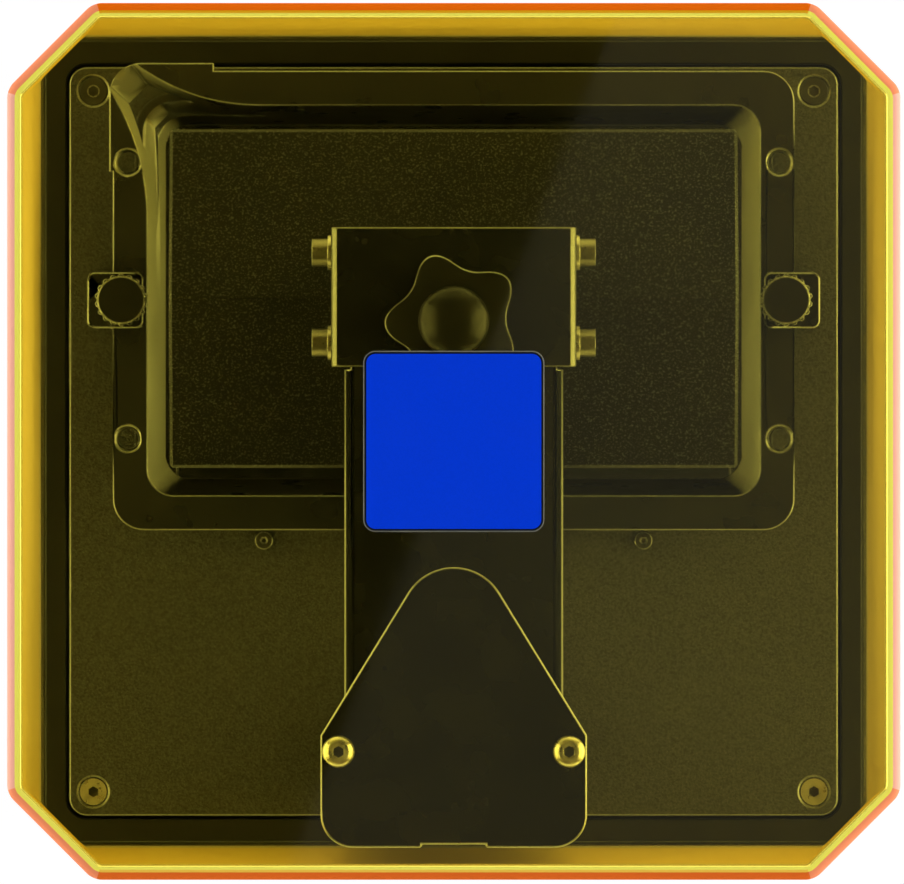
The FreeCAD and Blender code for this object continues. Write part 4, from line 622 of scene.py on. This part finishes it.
def threaded_screw():
    """Lead screw with two starts. It winds the way that lifts the carriage as the screw turns forward."""
    low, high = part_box("lead_screw")
    axis = Vector(((low.x + high.x) / 2, (low.y + high.y) / 2, 0))
    start, end = low.z + PLAIN_FOOT, high.z - PLAIN_TOP
    bm = bmesh.new()
    form = [(THREAD_ROOT, 0.0), (THREAD_ROOT, 0.6), (THREAD_CREST, 0.9), (THREAD_CREST, 1.6),
            (THREAD_ROOT, 2.0)]
    form += [(radius, rise + SCREW_LEAD / MM / 2) for radius, rise in form[1:]]
    points = [bm.verts.new((axis.x + radius * MM, axis.y, start - SCREW_LEAD + rise * MM))
              for radius, rise in form]
    profile = [bm.edges.new(pair) for pair in zip(points, points[1:])]
    turns = math.ceil((end - start) / SCREW_LEAD) + 1
    bmesh.ops.spin(bm, geom=points + profile, cent=axis, axis=(0, 0, -1), angle=2 * math.pi * turns,
                   dvec=(0, 0, SCREW_LEAD / RING_SIDES), steps=RING_SIDES * turns)
    bmesh.ops.remove_doubles(bm, verts=bm.verts, dist=MERGE / 2)
    for height, way in ((start, -1), (end, 1)):
        bmesh.ops.bisect_plane(bm, geom=bm.verts[:] + bm.edges[:] + bm.faces[:], plane_co=(0, 0, height),
                               plane_no=(0, 0, way), clear_outer=True)
    bmesh.ops.holes_fill(bm, edges=[edge for edge in bm.edges if edge.is_boundary])
    lap = 0.2 * MM
    step = high.z - JOURNAL
    shell_of_rings(bm, axis, [(SCREW_RADIUS - 0.4, low.z), (SCREW_RADIUS, low.z + TIP_BREAK),
                              (SCREW_RADIUS, start + lap)])
    shell_of_rings(bm, axis, [(SCREW_RADIUS, end - lap), (SCREW_RADIUS, step - EASE), (JOURNAL_RADIUS, step),
                              (JOURNAL_RADIUS, high.z - TIP_BREAK), (JOURNAL_RADIUS - 0.3, high.z)])
    turned("lead_screw", bm, steel)


def touch_screen():
    """Black glass with the picture area set off by a thin line."""
    bm = solid_of("touch_screen")
    face = max(bm.faces, key=lambda f: -f.normal.y * f.calc_area())
    inset(bm, face, 5.0 * MM)
    line = inset(bm, face, 0.25 * MM)
    finishes = [1 if part in line else 2 if part is face else 0 for part in bm.faces]
    glass = new_piece("touch_screen_finished", bm, glass_black, "touch_screen")
    share_out(glass, [label_gap, screen_grey], lambda part: finishes[part.index])
    softened(glass, 0.3)


def star_knob():
    """Five-lobed knob with a domed middle and a painted highlight as a thin bright line round its top edge.
    """
    low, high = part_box("platform_knob")
    top = high.z - DOME_STEP
    foot = top - LOBE_HEIGHT
    boss = foot - BOSS_HEIGHT
    dome = [(DOME * math.cos(turn) + 0.1, high.z - DOME_RISE + DOME_RISE * math.sin(turn))
            for turn in (0.0, 0.3, 0.6, 0.9, 1.15, 1.35, 1.5)]
    stem = [(STUD - 0.4, low.z), (STUD, low.z + 0.5 * MM), (STUD, boss), (BOSS - 0.4, boss + EASE),
            (BOSS, boss + 0.4 * MM), (BOSS, foot - EASE)]
    lobes = [(star(1.2), foot), (star(0.35), foot + 0.35 * MM), (star(0.0), foot + 1.2 * MM),
             (star(0.0), top - 1.3 * MM), (star(0.12), top - 0.75 * MM), (star(0.42), top - 0.25 * MM),
             (star(1.2), top)]
    collar = [(DOME + 0.6, top + EASE), (DOME + 0.1, top + 0.2 * MM)]
    bm = bmesh.new()
    shell_of_rings(bm, KNOB_AXIS, stem + lobes + collar + dome, KNOB_SIDES)
    knob = turned("platform_knob", bm, knob_plastic)
    # Painted highlight on the sloped top edge of the lobes
    share_out(knob, [painted_edge_highlight],
              lambda face: 0.3 < face.normal.z < 0.9 and top - 0.8 * MM < face.center.z < top)


def axis_gap(face, centres):
    """How far a face lies from the nearest upright axis."""
    return min((face.center.xy - centre).length for centre in centres)


def cap_screws():
    """Two domed heads with painted shade in the hexagon socket."""
    low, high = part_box("cap_screws")
    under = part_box("column_cap")[1].z
    rim = under + 0.3 * MM
    head = (high.y - low.y) / 2
    middle = (low.y + high.y) / 2
    centres = [Vector((low.x + head, middle)), Vector((high.x - head, middle))]
    across, rise = head / MM - SOCKET_MOUTH, high.z - rim
    dome = [(SOCKET_MOUTH + across * math.sin(turn), rim + rise * math.cos(turn))
            for turn in (0.35, 0.7, 1.05, 1.35, math.pi / 2)]
    mouth = high.z - 0.12 * MM
    rows = [(hexagon(SOCKET), high.z - 1.3 * MM), (hexagon(SOCKET), mouth), (SOCKET_MOUTH, high.z), *dome,
            (head / MM - 0.2, under), (SHANK, under - EASE), (SHANK, low.z + TIP_BREAK), (SHANK_TIP, low.z)]
    bm = bmesh.new()
    for centre in centres:
        shell_of_rings(bm, centre, rows)
    # Painted shade: the socket takes the dark finish
    share_out(turned("cap_screws", bm, zinc), [black_oxide],
              lambda face: axis_gap(face, centres) < 1.35 * MM and face.center.z < mouth - 0.01 * MM)


def deck_screws():
    """Four countersunk screws in a narrow groove. The front pair is dark."""
    low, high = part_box("deck_screws")
    top = high.z
    head = 4.0 * MM
    centres = [Vector((x, y)) for x in (low.x + head, high.x - head) for y in (low.y + head, high.y - head)]
    rows = [(hexagon(SOCKET), top - 1.6 * MM), (hexagon(SOCKET), top - 0.1 * MM), (SOCKET_MOUTH, top - EASE),
            (3.5, top), (3.7, top - 0.2 * MM), (3.7, top - 0.45 * MM), (SHANK, top - 2.3 * MM),
            (SHANK, low.z + TIP_BREAK), (SHANK_TIP, low.z)]

    def finish_of(face):
        """Zinc, dark on the front pair, painted shade in the groove and socket, and a painted highlight on
        the socket mouth of the front pair.
        """
        out = axis_gap(face, centres)
        front = face.center.y < 0
        # Painted shade in the groove and socket, painted highlight round the front mouths
        shaded = out > 3.55 * MM or face.center.z < top - 0.12 * MM
        mouth = 1.2 * MM < out < 1.7 * MM and not shaded
        return 2 if front and mouth else front or shaded

    bm = bmesh.new()
    for centre in centres:
        shell_of_rings(bm, centre, rows)
    share_out(turned("deck_screws", bm, zinc), [black_oxide, painted_edge_highlight], finish_of)


amber_cover()
dressed("base_housing", housing_coat, edge=0.5)
dressed("bottom_plate", housing_coat, edge=0.3)
dressed("rubber_feet", rubber, edge=0.3)
dressed("cover_seat_frame", seat_plastic, edge=0.5)
# Where a piece is given a second material, its broken edges show it as a painted highlight
dressed("deck_plate", deck_coat, edge=0.35, painted_light=painted_edge_highlight)
deck_screws()
dressed("vat_stop_screws", black_oxide, edge=0.22, painted_light=painted_edge_highlight)
dressed("lcd_panel", glass_black, edge=0.15)
finished_vat()
# Painted shade: the film frame takes a dark finish so that the holes in the vat's flange look dark inside
dressed("film_frame", black_oxide, edge=0.2)
dressed("vat_clamp_left", black_coat, edge=0.4, whole=False, painted_light=painted_edge_highlight)
dressed("vat_clamp_right", black_coat, edge=0.4, whole=False, painted_light=painted_edge_highlight)
dressed("thumbscrew_left", knob_plastic, edge=0.25, painted_light=painted_edge_highlight)
dressed("thumbscrew_right", knob_plastic, edge=0.25, painted_light=painted_edge_highlight)
dressed("z_column", black_coat, edge=0.4)
dressed("column_screws", black_oxide, edge=0.12)
dressed("column_cap", black_coat, edge=0.5, painted_light=painted_edge_highlight)
cap_screws()
dressed("linear_rail", steel, edge=0.2)
dressed("rail_truck", steel, edge=0.3)
dressed("carriage_plate", black_coat, edge=0.3)
arm = dressed("z_arm", black_coat, edge=0.45, painted_light=painted_edge_highlight)
# The steep part of each arm bend takes the painted edge highlight, the upper part a duller black
share_out(arm, [dull_bend], lambda face: on_bend(face, *ARM_BEND_LOW) + 2 * on_bend(face, *ARM_BEND_HIGH))
dressed("arm_bolts", black_oxide, edge=0.12)
dressed("lead_nut", brass, edge=0.15)
dressed("sensor_flag", black_coat, edge=0.1)
dressed("limit_sensor", fitting_plastic, edge=0.2)
dressed("bearing_holder", aluminium, edge=0.3)
# The yoke's bends take a painted highlight of light metal
yoke = dressed("platform_yoke", black_coat, edge=0.4, painted_light=painted_bend_highlight)
share_out(yoke, [], lambda face: on_bend(face, *YOKE_BEND))
star_knob()
dressed("mount_block", aluminium, edge=0.4)
plate = dressed("build_plate", plate_blasted, edge=0.3, painted_light=painted_edge_highlight)
plate.modifiers["Edges"].angle_limit = PLATE_SHARP
dressed("platform_side_bolts", bolt_steel, edge=0.15, painted_light=painted_edge_highlight)
dressed("side_washers", zinc, edge=0.1)
touch_screen()
dressed("rear_panel", fitting_plastic, edge=0.2)
dressed("power_inlet", fitting_plastic, edge=0.2)
dressed("switch_body", fitting_plastic, edge=0.2)
dressed("switch_rocker", rocker_plastic, edge=0.2)
dressed("usb_port", tin, edge=0.05)
dressed("fan_frame", fitting_plastic, edge=0.3, whole=False)
dressed("fan_rotor", fitting_plastic, edge=0.2)
outlined_label()
threaded_screw()
plain("screw_bearing", steel)
plain("z_motor", black_coat)
plain("light_tunnel", tunnel_plastic)
plain("led_board", board_green)
plain("led_chips", chip_yellow)
plain("lens_array", lens_clear)
plain("heat_sink", aluminium)
plain("release_film", film_clear)
plain("display_module", fitting_plastic)
plain("mainboard", board_green)
plain("board_standoffs", brass)
plain("usb_board", board_green)


# Floor, lamps and camera


def white_floor():
    """A pale floor that the camera, gloss and clear plastic see as white, with the shadow kept."""
    material = finish("white_floor", (0.82, 0.82, 0.82), 0.8)
    nodes = material.node_tree.nodes
    path = nodes.new("ShaderNodeLightPath").outputs
    seen = arithmetic(material, "MAXIMUM", path["Is Camera Ray"], path["Is Transmission Ray"])
    seen = arithmetic(material, "MAXIMUM", seen, path["Is Glossy Ray"])
    glow = nodes.new("ShaderNodeEmission")
    glow.inputs["Strength"].default_value = 1.06
    show(material, arithmetic(material, "MULTIPLY", seen, 0.9), shader_of(material).outputs["BSDF"],
         glow.outputs["Emission"])
    bm = bmesh.new()
    bmesh.ops.create_grid(bm, x_segments=1, y_segments=1, size=6.0)
    mesh = bpy.data.meshes.new("floor")
    bm.to_mesh(mesh)
    bm.free()
    mesh.materials.append(material)
    floor = bpy.data.objects.new("floor", mesh)
    bpy.context.scene.collection.objects.link(floor)


def lamp(name, place, target, size, power):
    """A soft rectangular lamp that faces target."""
    light = bpy.data.lights.new(name, "AREA")
    light.shape = "RECTANGLE"
    light.size, light.size_y = size
    light.energy = power
    holder = bpy.data.objects.new(name, light)
    holder.location = place
    holder.rotation_euler = (Vector(target) - Vector(place)).to_track_quat("-Z", "Y").to_euler()
    holder.visible_camera = False
    bpy.context.scene.collection.objects.link(holder)
    return holder


def studio_world():
    """A pale room with a dark ceiling, white where the camera looks past the floor."""
    world = bpy.data.worlds.new("studio")
    bpy.context.scene.world = world
    world.use_nodes = True
    nodes, links = world.node_tree.nodes, world.node_tree.links
    back = nodes["Background"]
    back.inputs["Color"].default_value = (1.0, 1.0, 1.0, 1.0)
    room = spread(world, height_in(world, "Generated"), low=0.5, high=0.97, start=0.011, end=0.0008)
    path = nodes.new("ShaderNodeLightPath")
    links.new(arithmetic(world, "MAXIMUM", room, path.outputs["Is Camera Ray"]), back.inputs["Strength"])


white_floor()
studio_world()
lamp("left_panel", place=(1.25, 0.0, 1.0), target=(0.0, 0.0, 1.0), size=(1.6, 2.0), power=26)
lamp("right_panel", place=(-1.25, 0.0, 1.0), target=(0.0, 0.0, 1.0), size=(1.6, 2.0), power=33)
lamp("front_panel", place=(0.0, -1.3, 0.6), target=(0.0, 0.0, 0.6), size=(2.4, 1.2), power=10)
lamp("back_panel", place=(0.0, 1.3, 0.45), target=(0.0, 0.0, 0.45), size=(2.4, 0.9), power=9)
card = lamp("ceiling_card", place=(-0.56, 0.215, 4.9), target=(-0.56, 0.215, 0.0), size=(1.2, 2.4), power=1.3)
# The card faces straight down, and its edges run aslant over the picture
card.rotation_euler = (0.0, 0.0, math.atan2(0.358, -0.934))

# Straight down through a long lens, with the front at the top of the picture
camera_data = bpy.data.cameras.new("camera")
camera_data.sensor_width = 36.0
camera_data.lens = 593.4
camera_data.clip_end = 50.0
camera = bpy.data.objects.new("camera", camera_data)
camera.location = (0.00043, 0.00015, 4.021)
camera.rotation_euler = (0.0, 0.0, math.pi)
bpy.context.scene.collection.objects.link(camera)
bpy.context.scene.camera = camera
bpy.context.scene.view_settings.view_transform = "Standard"
